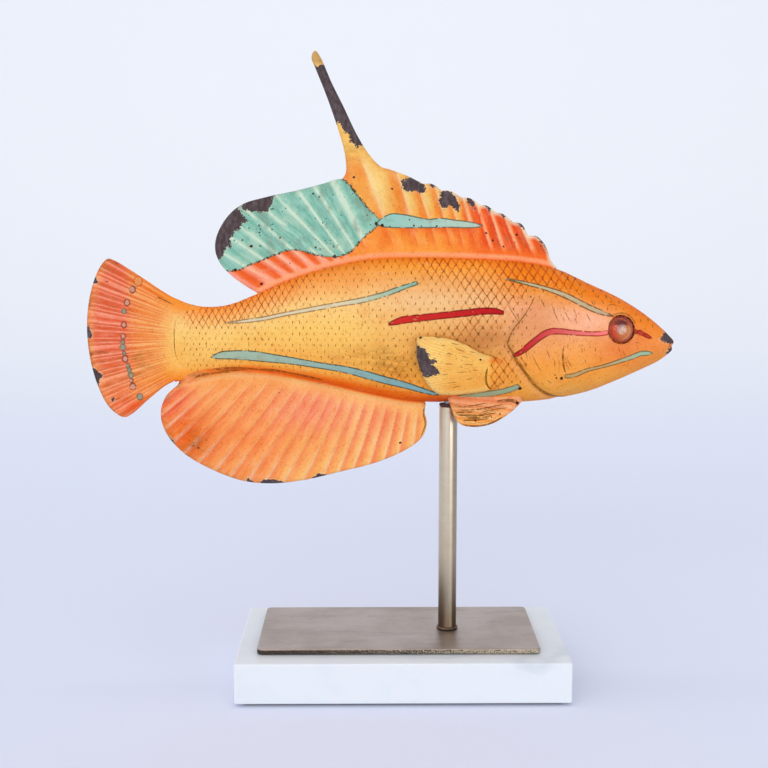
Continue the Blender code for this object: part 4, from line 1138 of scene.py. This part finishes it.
def shape_dorsal(spots, edge):
    """Flutes, spines and paint of the dorsal fin, its turquoise lobe and its filament."""
    x, z = spots[:, 0], spots[:, 1]
    ray = guide_rays(spots, DORSAL_RAYS)
    wave = ray % 1.0
    top, _, _ = sections(x)
    above = z - top
    thread = soft(z, 238, 250) * soft(x, -30, -36)
    full = between(1.25, 2.25, thread)
    radius = between(1.3, 2.3, thread)
    swell = soft(above, 0.5, 7) * soft(edge, 0, 3.0) * (1 - thread)
    rear = soft(x, -34, -46)
    flute = between(sawtooth(-ray) - 0.5, np.cos(2 * pi * (ray - CREST_AT)) * 0.5, rear)
    bead = 0.75 * np.exp(-((above - 1.4) / 1.2) ** 2) * soft(x, 52, 44) * soft(x, -97, -84)
    half = rounded(edge, radius, full) + 0.85 * flute * swell + bead * soft(edge, 0, 1.5)
    half += 0.5 * soft(above, 2.5, -1) * soft(edge, 0, 2)

    fields = blank_fields(len(spots))
    stripe_line = np.interp(x, (-33, -20, 0, 12, 16, 50), (216, 216.6, 216, 215, 226, 236))
    over = soft(z - stripe_line, -0.8, 0.8)
    low = washes(rgb(249, 158, 62), ((245, 116, 38), soft(x, -6, 20)),
                 ((241, 100, 42), 0.85 * soft(stripe_line - z, 8, 0.5) * soft(x, -30, -20)),
                 ((248, 148, 60), 0.6 * soft(x, -22, -34)))
    high = washes(rgb(241, 197, 108), ((243, 166, 64), soft(wave, 0.20, 0.95)),
                  ((248, 162, 64), 0.6 * soft(z, 226, 218)), ((250, 214, 130), 0.7 * blob(x, z, -34, 234, 5, 12)),
                  ((248, 172, 74), 0.5 * soft(wave, 0.25, 0.9) * soft(x, -32, -40)),
                  ((250, 200, 110), 0.6 * soft(edge, 4, 1)))
    colour = lerp(low, high, over)
    front = between(soft(x, 12, 18), soft(x, 4, 10), over) * soft(above, 2, 9)
    valley = lerp(rgb(251, 168, 108), rgb(238, 84, 26), soft(wave, 0.12, 0.40))
    colour = lerp(colour, valley, 0.85 * front)
    salmon = lerp(rgb(252, 166, 132), rgb(241, 106, 40),
                  soft(np.exp(-((wave - 0.57) / 0.28) ** 2) - 0.5 * soft(above, 3.4, 1), 0.16, 0.86))
    # the last wash, near-white along the front of the edge, is a painted highlight
    fields["ground"] = opaque(washes(
        lerp(colour, salmon, soft(x, -42, -52)), ((251, 152, 132), 0.8 * soft(edge, 3.0, 1.0) * soft(x, -80, -88)),
        ((251, 168, 118), soft(above, 3.0, 1.9) * soft(above, -0.2, 0.7) * 0.85),
        ((238, 118, 34), soft(above, 0.5, -0.4) * 0.8), ((250, 198, 104), thread),
        ((206, 160, 96), soft(z, 286, 288.5)), ((253, 236, 208), 0.85 * soft(edge, 1.9, 0.4) * soft(x, -10, 6))))
    fields["panel_d"] = depth_in(spots, PANEL)
    add_trim(fields, spots, PANEL_STRIPE, (182, 206, 188), (150, 198, 184), 1.0)
    fields["ray"] = ray
    weight = soft(above, 3.0, 8.0) * (1 - thread)
    fields["comb"] = comb(0.40 * weight * np.clip(over * (1 - front) + front + rear, 0.15, 1),
                          weight * between(0.65, 0.5, rear) * (1 - 0.6 * blob(x, z, -35, 230, 7, 12)), edge)
    add_chips(fields, spots, DORSAL_CHIPS)
    fields["dirt_and_shade"][:, 0] = 0.30 * soft(edge, 2.5, 0.5) * (1 - thread) + 0.5 * np.exp(-((z - 250) / 8) ** 2) * thread
    fields["dirt_and_shade"][:, 0] += 0.5 * soft(x, 14, 22) * soft(z, 222, 208) * soft(z, 200, 204) * soft(wave, 0.2, 0.6)
    add_dots(fields, spots, (
        (-31, 214.6, 0.9), (-27.5, 214.1, 0.5), (-16.5, 214.4, 0.5), (-13, 214.2, 0.5), (-6, 214.2, 0.5),
        (-18.5, 217.2, 0.5), (-33.8, 215.4, 0.9), (-44, 236.5, 0.7), (-26.5, 231.2, 0.5), (17, 211, 0.6),
        (20, 207.6, 0.6), (25, 204.8, 0.5), (31, 210.2, 0.7), (30.2, 206.6, 0.4), (42.2, 205, 0.5), (-99, 194, 0.9),
        (-87, 187.6, 0.8), (-95.5, 207.8, 0.6), (-91.5, 205, 0.8), (-61.8, 204.4, 0.5), (-53, 200.5, 0.7)))
    return half, fields


def shape_anal(spots, edge):
    """Flutes and paint of the anal fin."""
    x, z = spots[:, 0], spots[:, 1]
    _, bottom, _ = sections(x)
    below = bottom - z
    ray = guide_rays(spots, ANAL_RAYS) + 0.10 * np.sin(below * 0.09)
    wave = ray % 1.0
    swell = soft(below, 0.5, 9) * soft(edge, 0, 2.5)
    half = rounded(edge, 1.3, 1.25) + (sawtooth(-ray) - 0.45) * 0.85 * swell * between(0.4, 1.0, soft(below, 6, 30))
    half += 0.9 * soft(below, 3.2, 0.2) * soft(edge, 0, 2) * soft(x, -126, -108)
    fields = blank_fields(len(spots))
    ahead = soft(x, -66, -34)
    light = lerp(rgb(250, 168, 96), rgb(253, 200, 128), ahead)
    light = lerp(light, lerp(rgb(252, 190, 106), rgb(247, 158, 86), soft(x, -72, -88)), soft(edge, 14, 3))
    dark = washes(rgb(248, 154, 92), ((246, 134, 88), ahead), ((246, 158, 92), soft(x, -30, -14)),
                  ((248, 140, 124), 0.9 * blob(x, z, -66, 126, 26, 12)))
    colour = lerp(light, dark, soft(wave, 0.10, 0.95) * (0.45 + 0.4 * ahead) * soft(below, 2, 9))
    colour = lerp(colour, rgb(250, 168, 90), 0.6 * soft(below, 16, 4) * soft(x, -70, -90))
    tip = soft(x, -112, -128) * soft(z, 120, 129)
    colour = lerp(colour, lerp(rgb(249, 146, 96), rgb(238, 92, 66), soft(wave, 0.2, 0.9)), 0.85 * tip)
    fields["ground"] = opaque(washes(
        colour, ((248, 142, 118), 0.50 * blob(x, z, -64, 129, 17, 10)),
        ((247, 130, 56), 0.38 * blob(x, z, -92, 114, 18, 9)), ((236, 104, 18), 0.95 * blob(x, z, -122, 116, 14, 11)),
        ((244, 124, 76), 0.45 * blob(x, z, -30, 125, 9, 9)), ((250, 176, 92), 0.45 * blob(x, z, -62, 112, 16, 6)),
        ((240, 116, 34), soft(below, 1.2, 0.0) * soft(x, -124, -108)),
        ((252, 186, 120), 0.6 * soft(below, 4.5, 2.0) * soft(below, 1.0, 2.0))))
    fields["ray"] = ray
    weight = soft(below, 2.5, 10)
    fields["comb"] = comb(weight * (0.08 + 0.50 * soft(edge, 18, 4)), weight * between(0.6, 0.4, ahead), edge)
    add_chips(fields, spots, ANAL_CHIPS)
    seam = spline([(-119.5, 143.4), (-115.6, 145.2), (-111, 145.9), (-106, 146.6), (-100, 147.6), (-92, 147.8)])
    add_ink(fields, spots, seam, (0.3, 0.7, 0.35, 0.9, 0.4, 0.3), 0.1, 0.9)
    front_edge = spline([(-11.3, 130), (-11.7, 126.4), (-10.8, 121.6), (-13, 115.6)])
    add_ink(fields, spots, front_edge, (0.3, 0.35, 0.2), 0.1)
    add_dots(fields, spots, ((-117.4, 110.6, 0.5), (-121.4, 114.4, 0.4), (-113.6, 114.6, 0.4), (-22.6, 113, 0.7)))
    fields["dirt_and_shade"][:, 0] = (0.9 * blob(x, z, -118, 113, 6, 5) + 0.3 * soft(below, 2.5, 1)
                            + 0.7 * soft(edge, 3.5, 0.5) * soft(x, -60, -110))
    return half, fields


def shape_tail(spots, edge):
    """Rays, rings and paint of the tail fin."""
    x, z = spots[:, 0], spots[:, 1]
    ray = fan_rays(spots, TAIL_PIVOT, *TAIL_RAYS)
    ray = ray + 0.24 * np.sin(ray * 2.1) + 0.12 * np.sin(ray * 5.3)
    wave = ray % 1.0
    swell = soft(x, -129, -136) * soft(edge, 0, 2.2)
    half = rounded(edge, 1.3, between(1.35, 1.15, soft(x, -135, -165)))
    half += (np.abs(np.sin(pi * (ray - CREST_AT - 0.5))) ** 0.7 - 0.6) * 0.46 * swell
    fields = blank_fields(len(spots))
    root, _ = build_ground(np.full(len(x), -118.0), 161 + (z - 161) * np.interp(x, (-168, -128), (0.5, 0.86)))
    colour = washes(root, ((247, 158, 78), soft(x, -126, -146)),
                    ((246, 146, 44), 0.8 * soft(edge, 7, 2) * soft(x, -150, -138)))
    deep = lerp(rgb(234, 110, 72), rgb(241, 136, 82), soft(z, 156, 140))
    pale = lerp(rgb(248, 142, 112), rgb(250, 156, 108), soft(z, 156, 140))
    trough = np.abs(wave - CREST_AT - 0.5)
    colour = lerp(colour, lerp(pale, deep, soft(trough, 0.42, 0.12)), soft(x, -141, -151))
    strands = lerp(rgb(250, 176, 100), rgb(240, 138, 62), soft(trough, 0.40, 0.05))
    colour = lerp(colour, strands, 0.6 * soft(x, -128, -140) * soft(x, -152, -146))
    fields["ground"] = opaque(washes(colour, ((248, 160, 98), 0.75 * soft(edge, 5, 1.5) * soft(x, -154, -162)),
                                     ((238, 86, 28), 0.8 * blob(x, z, -147, 131, 8, 4.5))))
    fields["ray"] = ray
    fields["comb"] = comb(0.20 * soft(x, -128, -140), 0.9 * soft(x, -126, -136), edge)
    for ring_x, ring_z, size, kind in TAIL_RINGS:
        circle = np.array([(ring_x + size * cos(a), ring_z + 1.2 * size * sin(a)) for a in np.arange(0, 2 * pi, 0.5)])
        tint, outlined = RING_PAINTS[kind]
        add_trim(fields, spots, circle, tint, tint, outlined)
    add_chips(fields, spots, TAIL_CHIPS)
    add_ink(fields, spots, spline([(-127.8, 178.0), (-131.5, 179.8), (-135.4, 181.8)]), 0.28)
    fields["dirt_and_shade"][:, 0] = (1.0 * blob(x, z, -143.5, 154, 4.5, 2)
                            + 0.9 * blob(x, z, -142, 150, 4, 1.5)
                            + 0.8 * blob(x, z, -145, 145.5, 4, 1.5)
                            + 0.62 * soft(x, -140, -156) * soft(wave, 0.3, 0.8)
                            + 1.0 * soft(edge, 1.8, 0.2) * soft(x, -150, -160))
    return half, fields


PELVIC_ROOT_Z, PELVIC_OUT, PELVIC_SPLAY = 134.0, 8.0, radians(12.0)
PELVIC_STROKES = (  # line, half widths
    ([(3.5, 129.6), (12, 129.6), (26, 132.2)], (0.2, 0.35, 0.25)),
    ([(3, 127), (12, 126.8), (22.5, 128.2)], (0.3, 0.4, 0.2)),
    ([(5.5, 124.6), (12, 124.7), (18.5, 125.4)], (0.3, 0.35, 0.2)),
    ([(21.4, 133.5), (26.5, 134.0), (31.8, 133.3)], (0.3, 0.65, 0.95)),
    ([(5.6, 122.9), (9, 122.1), (14, 122.0), (19, 123.2), (25, 126.4)], (0.3, 0.5, 0.4)),
    *((line, (0.2, 0.3, 0.2)) for line in (
        [(1.2, 131.4), (9, 131.2), (18, 132.8)], [(8, 125.8), (15, 125.8), (20, 126.8)],
        [(14, 128.3), (21, 129.6), (27, 130.6)], [(2.2, 128.3), (7, 128.2), (11, 128.2)])),
)


def shape_pelvic(spots, edge):
    """Soft rays and paint of a pelvic fin."""
    x, z = spots[:, 0], spots[:, 1]
    ray = np.interp(z + 0.10 * x, (121, 136), (0, 5))
    half = rounded(edge, 1.0, 0.95) + (sawtooth(ray, 0.3) - 0.5) * 0.3 * soft(edge, 0, 2)
    fields = blank_fields(len(spots))
    fields["ground"] = opaque(washes(
        rgb(251, 186, 106), ((244, 158, 106), soft(z, 126, 134)), ((246, 180, 128), 0.6 * soft(x, 22, 30)),
        ((232, 146, 66), 0.7 * soft(z, 133.4, 135.4) * soft(x, 12, 24)),
        ((248, 170, 66), 0.8 * blob(x, z, 10, 124.4, 7, 1.6))))
    fields["ray"] = ray
    fields["comb"] = comb(0.3, 0.8, edge)
    fields["dirt_and_shade"][:, 0] = 0.35 * soft(z, 123, 132) * soft(x, 14, 4) + 0.5 * soft(edge, 1.2, 0.2)
    add_dots(fields, spots, ((31.4, 132.6, 1.0), (19.5, 126.0, 0.5), (12, 124.4, 0.5), (23.4, 127.6, 0.5)))
    for line, half_wide in PELVIC_STROKES:
        add_ink(fields, spots, spline(line, 0.8), half_wide)
    return half, fields


def build_fins():
    """The sheet fins; each root line runs a little inside the skin."""
    fin_paint = paint("fin_paint", rays=0.55, loose=0.42, torn=2.4)
    dorsal_root = [(x, float(sections(x)[0]) - 4.0) for x in np.linspace(47, -86, 90)]
    build_sheet("dorsal_fin", DORSAL_EDGE, dorsal_root, FIN_SPACING, shape_dorsal,
                paint("dorsal_paint", rays=0.8, panel=True))
    anal_root = [(x, float(sections(x)[1]) + 4.0) for x in np.linspace(-124, -13, 80)]
    build_sheet("anal_fin", ANAL_EDGE, anal_root, FIN_SPACING, shape_anal, fin_paint)
    under = np.linspace(-126, -114, 9)
    tail_root = [(x, float(sections(x)[1]) + 0.1) for x in under]
    tail_root += [(x, float(sections(x)[0]) - 0.1) for x in under[::-1]]
    build_sheet("tail_fin", TAIL_EDGE, tail_root, TAIL_SPACING, shape_tail, fin_paint)
    for side, hand in SIDES:
        build_sheet("pelvic_fin", PELVIC_EDGE, [(34, 140), (1.5, 140)], PELVIC_SPACING, shape_pelvic, fin_paint,
                    "_" + side, hand)


PECTORAL = np.array([
    (25.4, 150.6, 148.2), (23.5, 153.4, 142.4), (19.5, 155.4, 139.6), (13.5, 157.3, 138.0), (7.5, 160.6, 137.2),
    (0.5, 163.4, 136.6), (-5.2, 164.6, 137.2), (-9.6, 164.8, 141.0), (-13.0, 164.8, 147.0), (-15.6, 164.1, 155.0),
])
PECTORAL_CHIP = [(-16, 160), (-13.2, 158.2), (-11, 158), (-10.8, 156), (-9, 154), (-8.7, 152), (-6, 152.5), (-5.5, 151),
                 (-7.7, 150), (-5, 148), (-4, 146), (-6, 145), (-9, 144.2), (-12, 144.6), (-15, 151.5), (-17, 157.5)]


PECTORAL_COLUMNS, PECTORAL_LIFT = 60, 2.2
PECTORAL_OUT = 3  # mm that the leaf's painted side stands out from the flank
PECTORAL_DASHES = (
    ((8, 155.6), (3, 157.4)), ((10, 152.8), (6, 153.8)), ((-1, 158.6), (-4, 159)), ((12, 149.5), (7, 150)),
    ((9, 146.4), (4, 146)), ((12, 143.6), (8, 142.6)), ((2, 150), (-2, 150.2)), ((4, 141.6), (-1, 141)),
    ((5, 158.8), (1, 160)), ((13, 155.2), (9.5, 156)), ((2, 154.6), (-1, 155.2)), ((14, 147), (10.5, 147.2)),
    ((0, 145.2), (-3, 145)), ((-3, 162.4), (-7, 162.8)), ((6, 139.8), (1, 138.9)),
)


def build_pectoral(side, hand, material):
    """A leaf that follows the flank and lifts off it towards its rear tip."""
    rows = spline(PECTORAL, 0.5)
    columns = PECTORAL_COLUMNS
    share = np.linspace(0, 1, columns + 1)
    x = np.repeat(rows[:, 0], columns + 1)
    z = (rows[:, 2:3] + (rows[:, 1:2] - rows[:, 2:3]) * share).ravel()
    spots = np.column_stack([x, z])
    border = np.vstack([rows[:, :2], rows[::-1][:, [0, 2]]])
    edge = np.maximum(depth_in(spots, border, FAR), 0)
    lift = PECTORAL_LIFT * ((rows[0, 0] - x) / (rows[0, 0] - rows[-1, 0])) ** 2 + 0.5 * soft(x, 25, 16)
    angle = np.degrees(np.arctan2(z - 147, 24 - x))
    ray = angle / 2.1 + 0.15 * np.sin(x * 0.5) + 0.2 * np.sin(angle * 0.4)
    fan = soft(x, 19, 14)
    ridge = (np.abs(np.sin(pi * ray)) ** 0.8 - 0.5) * 0.26 * fan
    crease = spline(seen([(18.3, 148.5), (17.6, 145), (17.6, 142), (18.3, 139.8), (19.8, 138.2)], 2))
    gap, _, _ = nearest(spots, crease, 5)
    full = 1.6 + ridge - 0.9 * soft(x, 17.5, 24) - 0.5 * np.exp(-(gap / 0.7) ** 2)
    inner = flank(x, z) + lift
    outer = inner + rounded(edge, 1.5, 1.0) * full
    index = np.arange(len(x)).reshape(len(rows), columns + 1)
    quad = np.stack([index[:-1, :-1], index[1:, :-1], index[1:, 1:], index[:-1, 1:]], -1).reshape(-1, 4)
    free = index[1:-1, 1:-1].ravel()  # the rim's points serve both sides
    back = np.arange(len(x))
    back[free] = len(x) + np.arange(len(free))
    points = np.vstack([np.column_stack([x, hand * outer, z]), np.column_stack([x, hand * inner, z])[free]])
    front = quad if hand > 0 else quad[:, ::-1]
    faces = front.tolist() + back[front[:, ::-1]].tolist()

    fields = blank_fields(len(x))
    colour = washes(rgb(250, 202, 96), ((249, 180, 66), soft(z, 156, 140)), ((252, 218, 122), 0.7 * soft(x, 2, -8)),
                    ((253, 220, 132), 0.6 * soft(edge, 3.5, 1)))
    colour = lerp(colour, build_ground(x, z)[0], soft(x, 16.5, 19))
    fields["ground"] = opaque(washes(colour, ((238, 132, 40), 0.9 * blob(x, z, 20.5, 153.6, 4, 1.6))))
    fields["ray"] = ray
    fields["comb"] = comb(0.35 * fan, 0.5 * fan, edge)
    lattice = build_lattice(x, z)
    fields["lattice"] = np.column_stack([lattice[:, :2], soft(x, 17.5, 19)])
    add_chips(fields, spots, [seen(PECTORAL_CHIP, PECTORAL_OUT)])
    add_dots(fields, spots, seen_dots(((-13.2, 162.5, 0.7), (15.0, 152.0, 0.6)), PECTORAL_OUT))
    add_ink(fields, spots, crease, (0.25, 0.5, 0.5, 0.3))
    add_ink(fields, spots, spline(seen([(15.5, 155.3), (20, 154.2), (24, 152.8)], 2)), (0.3, 0.4, 0.2))
    for dash in PECTORAL_DASHES:
        add_ink(fields, spots, spline(seen(dash, PECTORAL_OUT)), 0.24, 0.3, 0.75)
    fields["dirt_and_shade"][:, 0] = 0.5 * soft(edge, 2.5, 0.5)
    fields = {key: np.concatenate([values, values[free]]) for key, values in fields.items()}
    make("pectoral_fin_painted_" + side, points, faces, "fish", ["pectoral_fin_" + side], material, fields)


# ---------------------------------------------------------------- eyes


SEGMENTS = 72
EYE_BASE, POLE_R = 0.7, 0.05  # the glass's underside over the disc, and the radius of a turned piece's poles


def lathe(profile, centre, axis):
    """Points and faces of a turned piece; its profile is (radius, height) from the outer pole round to the inner."""
    segments = SEGMENTS
    axis = Vector(axis).normalized()
    side = axis.orthogonal().normalized()
    up = axis.cross(side)
    points, faces = [], []
    for radius, rise in profile:
        for number in range(segments):
            angle = 2 * pi * number / segments
            points.append(Vector(centre) + axis * rise + (side * cos(angle) + up * sin(angle)) * max(radius, 1e-3))
    for row in range(len(profile) - 1):
        for number in range(segments):
            after = (number + 1) % segments
            faces.append((row * segments + number, (row + 1) * segments + number,
                          (row + 1) * segments + after, row * segments + after))
    faces.append(tuple(range(segments)))
    faces.append(tuple(range((len(profile) - 1) * segments, len(profile) * segments))[::-1])
    return [tuple(p) for p in points], faces


def build_eye(side, hand, glass, cup, rim):
    """A glass dome, the lacquered dish under it and a bead round its rim."""
    centre, axis = eye_frame(hand)
    sphere = (EYE_R ** 2 + EYE_DOME ** 2) / (2 * EYE_DOME)
    base, wall = EYE_BASE, EYE_BASE + EYE_RIM
    radii = [EYE_R * sin(pi / 2 * i / 20) for i in range(1, 20)]
    dome = [(r, wall + (sphere ** 2 - r ** 2) ** 0.5 - (sphere - EYE_DOME)) for r in radii]
    dome += [(EYE_R, wall), (EYE_R, base + 0.2), (EYE_R - 0.2, base), (POLE_R, base)]

    def iris_of(points):
        """How far ahead, up and out of the eye's centre, in its radius."""
        offset = (np.array(points) - centre) / EYE_R
        flat = offset - (offset @ axis)[:, None] * axis
        return {"iris": np.column_stack([offset[:, 0], offset[:, 2], np.linalg.norm(flat, axis=1)])}

    points, faces = lathe([(POLE_R, wall + EYE_DOME)] + dome, centre, axis)
    make("eye_dome_" + side, points, faces, "fish", ["eye_glass_" + side], glass, iris_of(points))
    dish = [(POLE_R, 0.15)] + [(EYE_R * i / 14, 0.15 + 0.35 * (i / 14) ** 2) for i in range(1, 15)]
    dish += [(EYE_R, -0.3), (POLE_R, -0.3)]
    points, faces = lathe(dish, centre, axis)
    make("eye_cup_" + side, points, faces, "fish", ["eye_disc_" + side], cup, iris_of(points))
    bead = [(EYE_R + 0.28 + 0.30 * cos(a), wall - 0.1 + 0.45 * sin(a)) for a in np.linspace(0, 2 * pi, 17)]
    points, faces = lathe(bead, centre, axis)
    make("eye_rim_" + side, points, faces[:-2], "fish", None, rim)


def eye_materials():
    """Amber glass; a coppery lacquer with painted reflections (darker above, lighter below, a dark crescent over the
    centre and a pale highlight); and the worn paint of the rim.
    """
    g = Graph("eye_amber")
    _, _, away = g.parts("iris")
    amber = g.mix(away.step(0.58, 0.98), g.mix(g.noise(3, 2), linear(255, 245, 234), linear(255, 238, 222)),
                  linear(206, 96, 36))
    glass = g.finish(amber, 0.03 + g.noise(0.6, 2) * 0.03,
                     g.bump(g.noise(1.5, 2) * 0.02), transmission_weight=1.0)
    g.shader.inputs["IOR"].default_value = 1.33
    g = Graph("eye_lacquer")
    ahead, up, away = g.parts("iris")
    swirl = g.noise(1.8, 3, 0.6)
    wobble = (swirl - 0.5) * 0.25
    colour = g.mix((ahead + wobble).step(-0.35, 0.35), linear(228, 86, 44), linear(222, 146, 84))
    # painted reflections: lighter towards the bottom and darker towards the top
    colour = g.mix((up + wobble).step(-0.45, -0.75), colour, linear(250, 158, 70))
    colour = g.mix((up + wobble).step(0.05, 0.45), colour, linear(206, 92, 24))
    arc = abs(away + wobble * 0.4 - 0.62).step(0.06, 0.01) * ahead.step(-0.1, 0.3) * up.step(0.35, 0.0)
    colour = g.mix(arc * 0.8, colour, linear(246, 196, 132))
    # a painted dark reflection: a crescent just over the centre
    aside, lift = (ahead - 0.10 + wobble) * 2.3, (up - 0.42 + ahead * ahead * 0.4) * 5.5
    colour = g.mix((aside * aside + lift * lift + wobble).step(1.3, 0.3) * 0.95, colour, linear(112, 16, 6))
    colour = g.mix((away + wobble * 0.5).step(0.80, 0.95), colour, linear(118, 36, 12))
    # a painted highlight: a pale lilac spot just ahead of the centre, with darker flecks
    aside, lift = ahead - 0.17, up - 0.02
    highlight_spot = (aside * aside + lift * lift + wobble * 0.16).step(0.13, 0.01)
    highlight_tint = g.mix((ahead - up).step(-0.20, 0.20), linear(146, 134, 186), linear(240, 232, 232))
    highlight_tint = g.mix(g.noise(0.7, 3, 0.6, shift=5).step(0.50, 0.66) * (up - ahead).step(0.1, -0.25), highlight_tint,
                  linear(150, 128, 112))
    colour = g.mix(highlight_spot * 0.92, colour, highlight_tint)
    cup = g.finish(colour, 0.35 + swirl * 0.2, g.bump(swirl * 0.1), specular=0.2)
    g = Graph("eye_rim_paint")
    worn = g.noise(1.2, 3, 0.6)
    rim = g.finish(g.mix(worn.step(0.42, 0.62), linear(92, 40, 14), linear(190, 96, 34)), 0.5 + worn * 0.1,
                   g.bump(worn * 0.06), specular=PAINT_GLOSS)
    return glass, cup, rim


# ---------------------------------------------------------------- stand


def dress(node, material):
    """A new material on a piece that keeps its CAD mesh."""
    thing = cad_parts[node]
    thing.data.materials.clear()
    thing.data.materials.append(material)


TARNISH, STAIN, PIT = linear(104, 90, 74), linear(120, 100, 84), linear(84, 70, 54)
SAWN, GLINT = linear(74, 64, 60), linear(206, 192, 170)
PATINA_AND_REFLECTION, EDGE_REFLECTION = linear(92, 74, 64), linear(96, 74, 50)


def brass(name, light, dark, rough, mottle, edge_low=None, dark_foot_low=None):
    """Aged brass, with an optional sawn edge that has painted glints, and an optional foot darkened as painted
    reflection, from these heights.
    """
    g = Graph(name)
    place = g.node("ShaderNodeSeparateXYZ")
    g.set(place.inputs[0], g.place)
    across, tall = Val(g, place.outputs[0]), Val(g, place.outputs[2])
    cloud, fine = g.noise(26, 4, 0.6), g.noise(0.8, 3, 0.6)
    grain = g.noise(0.5, 2, stretch=(1, 1, 0.04), shift=4)
    colour = g.mix(cloud.step(0.35, 0.68), linear(*light), linear(*dark))
    colour = g.mix(g.noise(3.2, 5, 0.7, shift=8).step(0.55, 0.75) * mottle, colour, TARNISH)
    streaks = g.noise(5, 4, 0.7, stretch=(0.12, 1, 1), shift=18)
    colour = g.mix(streaks.step(0.50, 0.74) * mottle, colour, STAIN)
    colour = g.mix(g.specks(7, 0.35, 0.35) * 0.4, colour, PIT)
    if edge_low:  # a sawn edge below this height, dark, with painted glints of light that grow more common to the right
        side = tall.step(edge_low, edge_low - 0.25)
        glint = (g.noise(0.55, 3, 0.7, shift=15) + across * 0.0020).step(0.48, 0.62)
        colour = g.mix(side, colour, g.mix(glint, SAWN, GLINT))
        fine = fine + side * glint * 3.0
    if dark_foot_low:  # the rod darkens towards its foot, most on the side towards the tail: a painted dark reflection, with some patina
        behind = (across - AXIS_X).step(1.5, -2.5)
        foot = (tall + cloud * 20.0).step(dark_foot_low + 56, dark_foot_low + 14)
        colour = g.mix(foot * (0.44 + behind * 0.50), colour, PATINA_AND_REFLECTION)
        # a painted dark reflection down the rod's side ahead, stronger at the foot
        ahead = (across - AXIS_X).step(1.3, 2.7)
        colour = g.mix(ahead * (0.45 + foot * 0.4), colour, EDGE_REFLECTION)
    return g.finish(colour, rough + cloud * 0.12 + fine * 0.05, g.bump(grain * 0.02 + fine * 0.012), metal=1.0)


def dress_stand():
    """Materials of the CAD's own pieces, the turned ring at the rod's foot and the dark washer at its top, whose dark
    colour also stands in for the shade under the belly.
    """
    g = Graph("white_marble")
    warp = g.noise(46, 4, 0.6)
    veins = abs(g.noise(38, 3, 0.45, stretch=(0.6, 0.8, 1.3), shift=6) - 0.5)
    thin = veins.step(0.050, 0.0) * warp.step(0.46, 0.66)
    cloud = g.noise(20, 4, 0.6, shift=12).step(0.45, 0.78)
    colour = g.mix(cloud * 0.6, linear(230, 235, 240), linear(219, 227, 236))
    colour = g.mix(thin * 0.30, colour, linear(178, 192, 204))
    grit = g.noise(0.9, 3, 0.6)
    colour = g.mix(g.specks(11, 0.3, 0.35) * 0.25, colour, linear(160, 166, 176))
    marble = g.finish(colour, 0.34 + grit * 0.14, g.bump(grit * 0.02 + cloud * 0.01), subsurface_weight=0.15,
                      subsurface_scale=0.004)
    dress("marble_slab", marble)
    plate_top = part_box("base_plate")[1].z / MM
    dress("base_plate", brass("plate_brass", (184, 170, 160), (170, 154, 142), 0.34, 0.30, plate_top - 0.25))
    foot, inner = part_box("foot_collar")[0].z / MM, ROD_RADIUS + 0.1
    ring = [(inner, foot), (4.95, foot), (5.1, foot + 0.25), (5.05, foot + 0.7), (4.75, foot + 1.0),
            (inner, foot + 1.1)]
    points, faces = lathe(ring + ring[:1], (0, 0, 0), (0, 0, 1))
    make("foot_ring", points, faces[:-2], "stand", ["foot_collar"],
         brass("collar_brass", (150, 126, 100), (96, 78, 64), 0.34, 0.6))
    rod = brass("rod_brass", (220, 206, 180), (208, 192, 164), 0.22, 0.10, dark_foot_low=foot)
    for node in ("support_rod", "belly_sleeve"):
        dress(node, rod)
    top = ROD_BOX[1].z / MM
    # a dark washer at the rod's top; its dark colour also stands in for the shade in the gap under the belly
    g = Graph("seat_rubber_shade")
    worn = g.noise(1.0, 3)
    rubber = g.finish(g.mix(worn, linear(58, 24, 26), linear(84, 44, 42)), 0.6 + worn * 0.2, g.bump(worn * 0.05))
    seat = [(1.9, top + 0.05), (4.1, top + 0.05), (4.3, top + 0.2), (4.3, top + 0.9), (4.1, top + 1.1),
            (1.9, top + 1.1)]
    points, faces = lathe(seat + seat[:1], (0, 0, 0), (0, 0, 1))
    make("seat_washer_shade", points, faces[:-2], "stand", None, rubber)
    g = Graph("turned_steel")
    turned = g.noise(0.4, 2, stretch=(0.3, 0.3, 4))
    steel = g.finish(g.mix(turned, linear(170, 170, 174), linear(140, 140, 146)), 0.3 + turned * 0.15,
                     g.bump(turned * 0.02), metal=1.0)
    for node in ("base_screw", "base_washer", "mount_pin"):
        dress(node, steel)
    g = Graph("dark_felt")
    fibre = g.noise(0.5, 4, 0.7)
    felt = g.finish(g.mix(fibre, linear(104, 102, 102), linear(134, 132, 132)), 0.9 + fibre * 0.1, g.bump(fibre * 0.3))
    dress("underside_pad", felt)


build_camera()
build_studio()
build_body()
build_fins()
pectoral_paint = paint("pectoral_paint", scales=True, rays=0.8)
eye_looks = eye_materials()
for name, hand_of in SIDES:
    build_pectoral(name, hand_of, pectoral_paint)
    build_eye(name, hand_of, *eye_looks)
dress_stand()
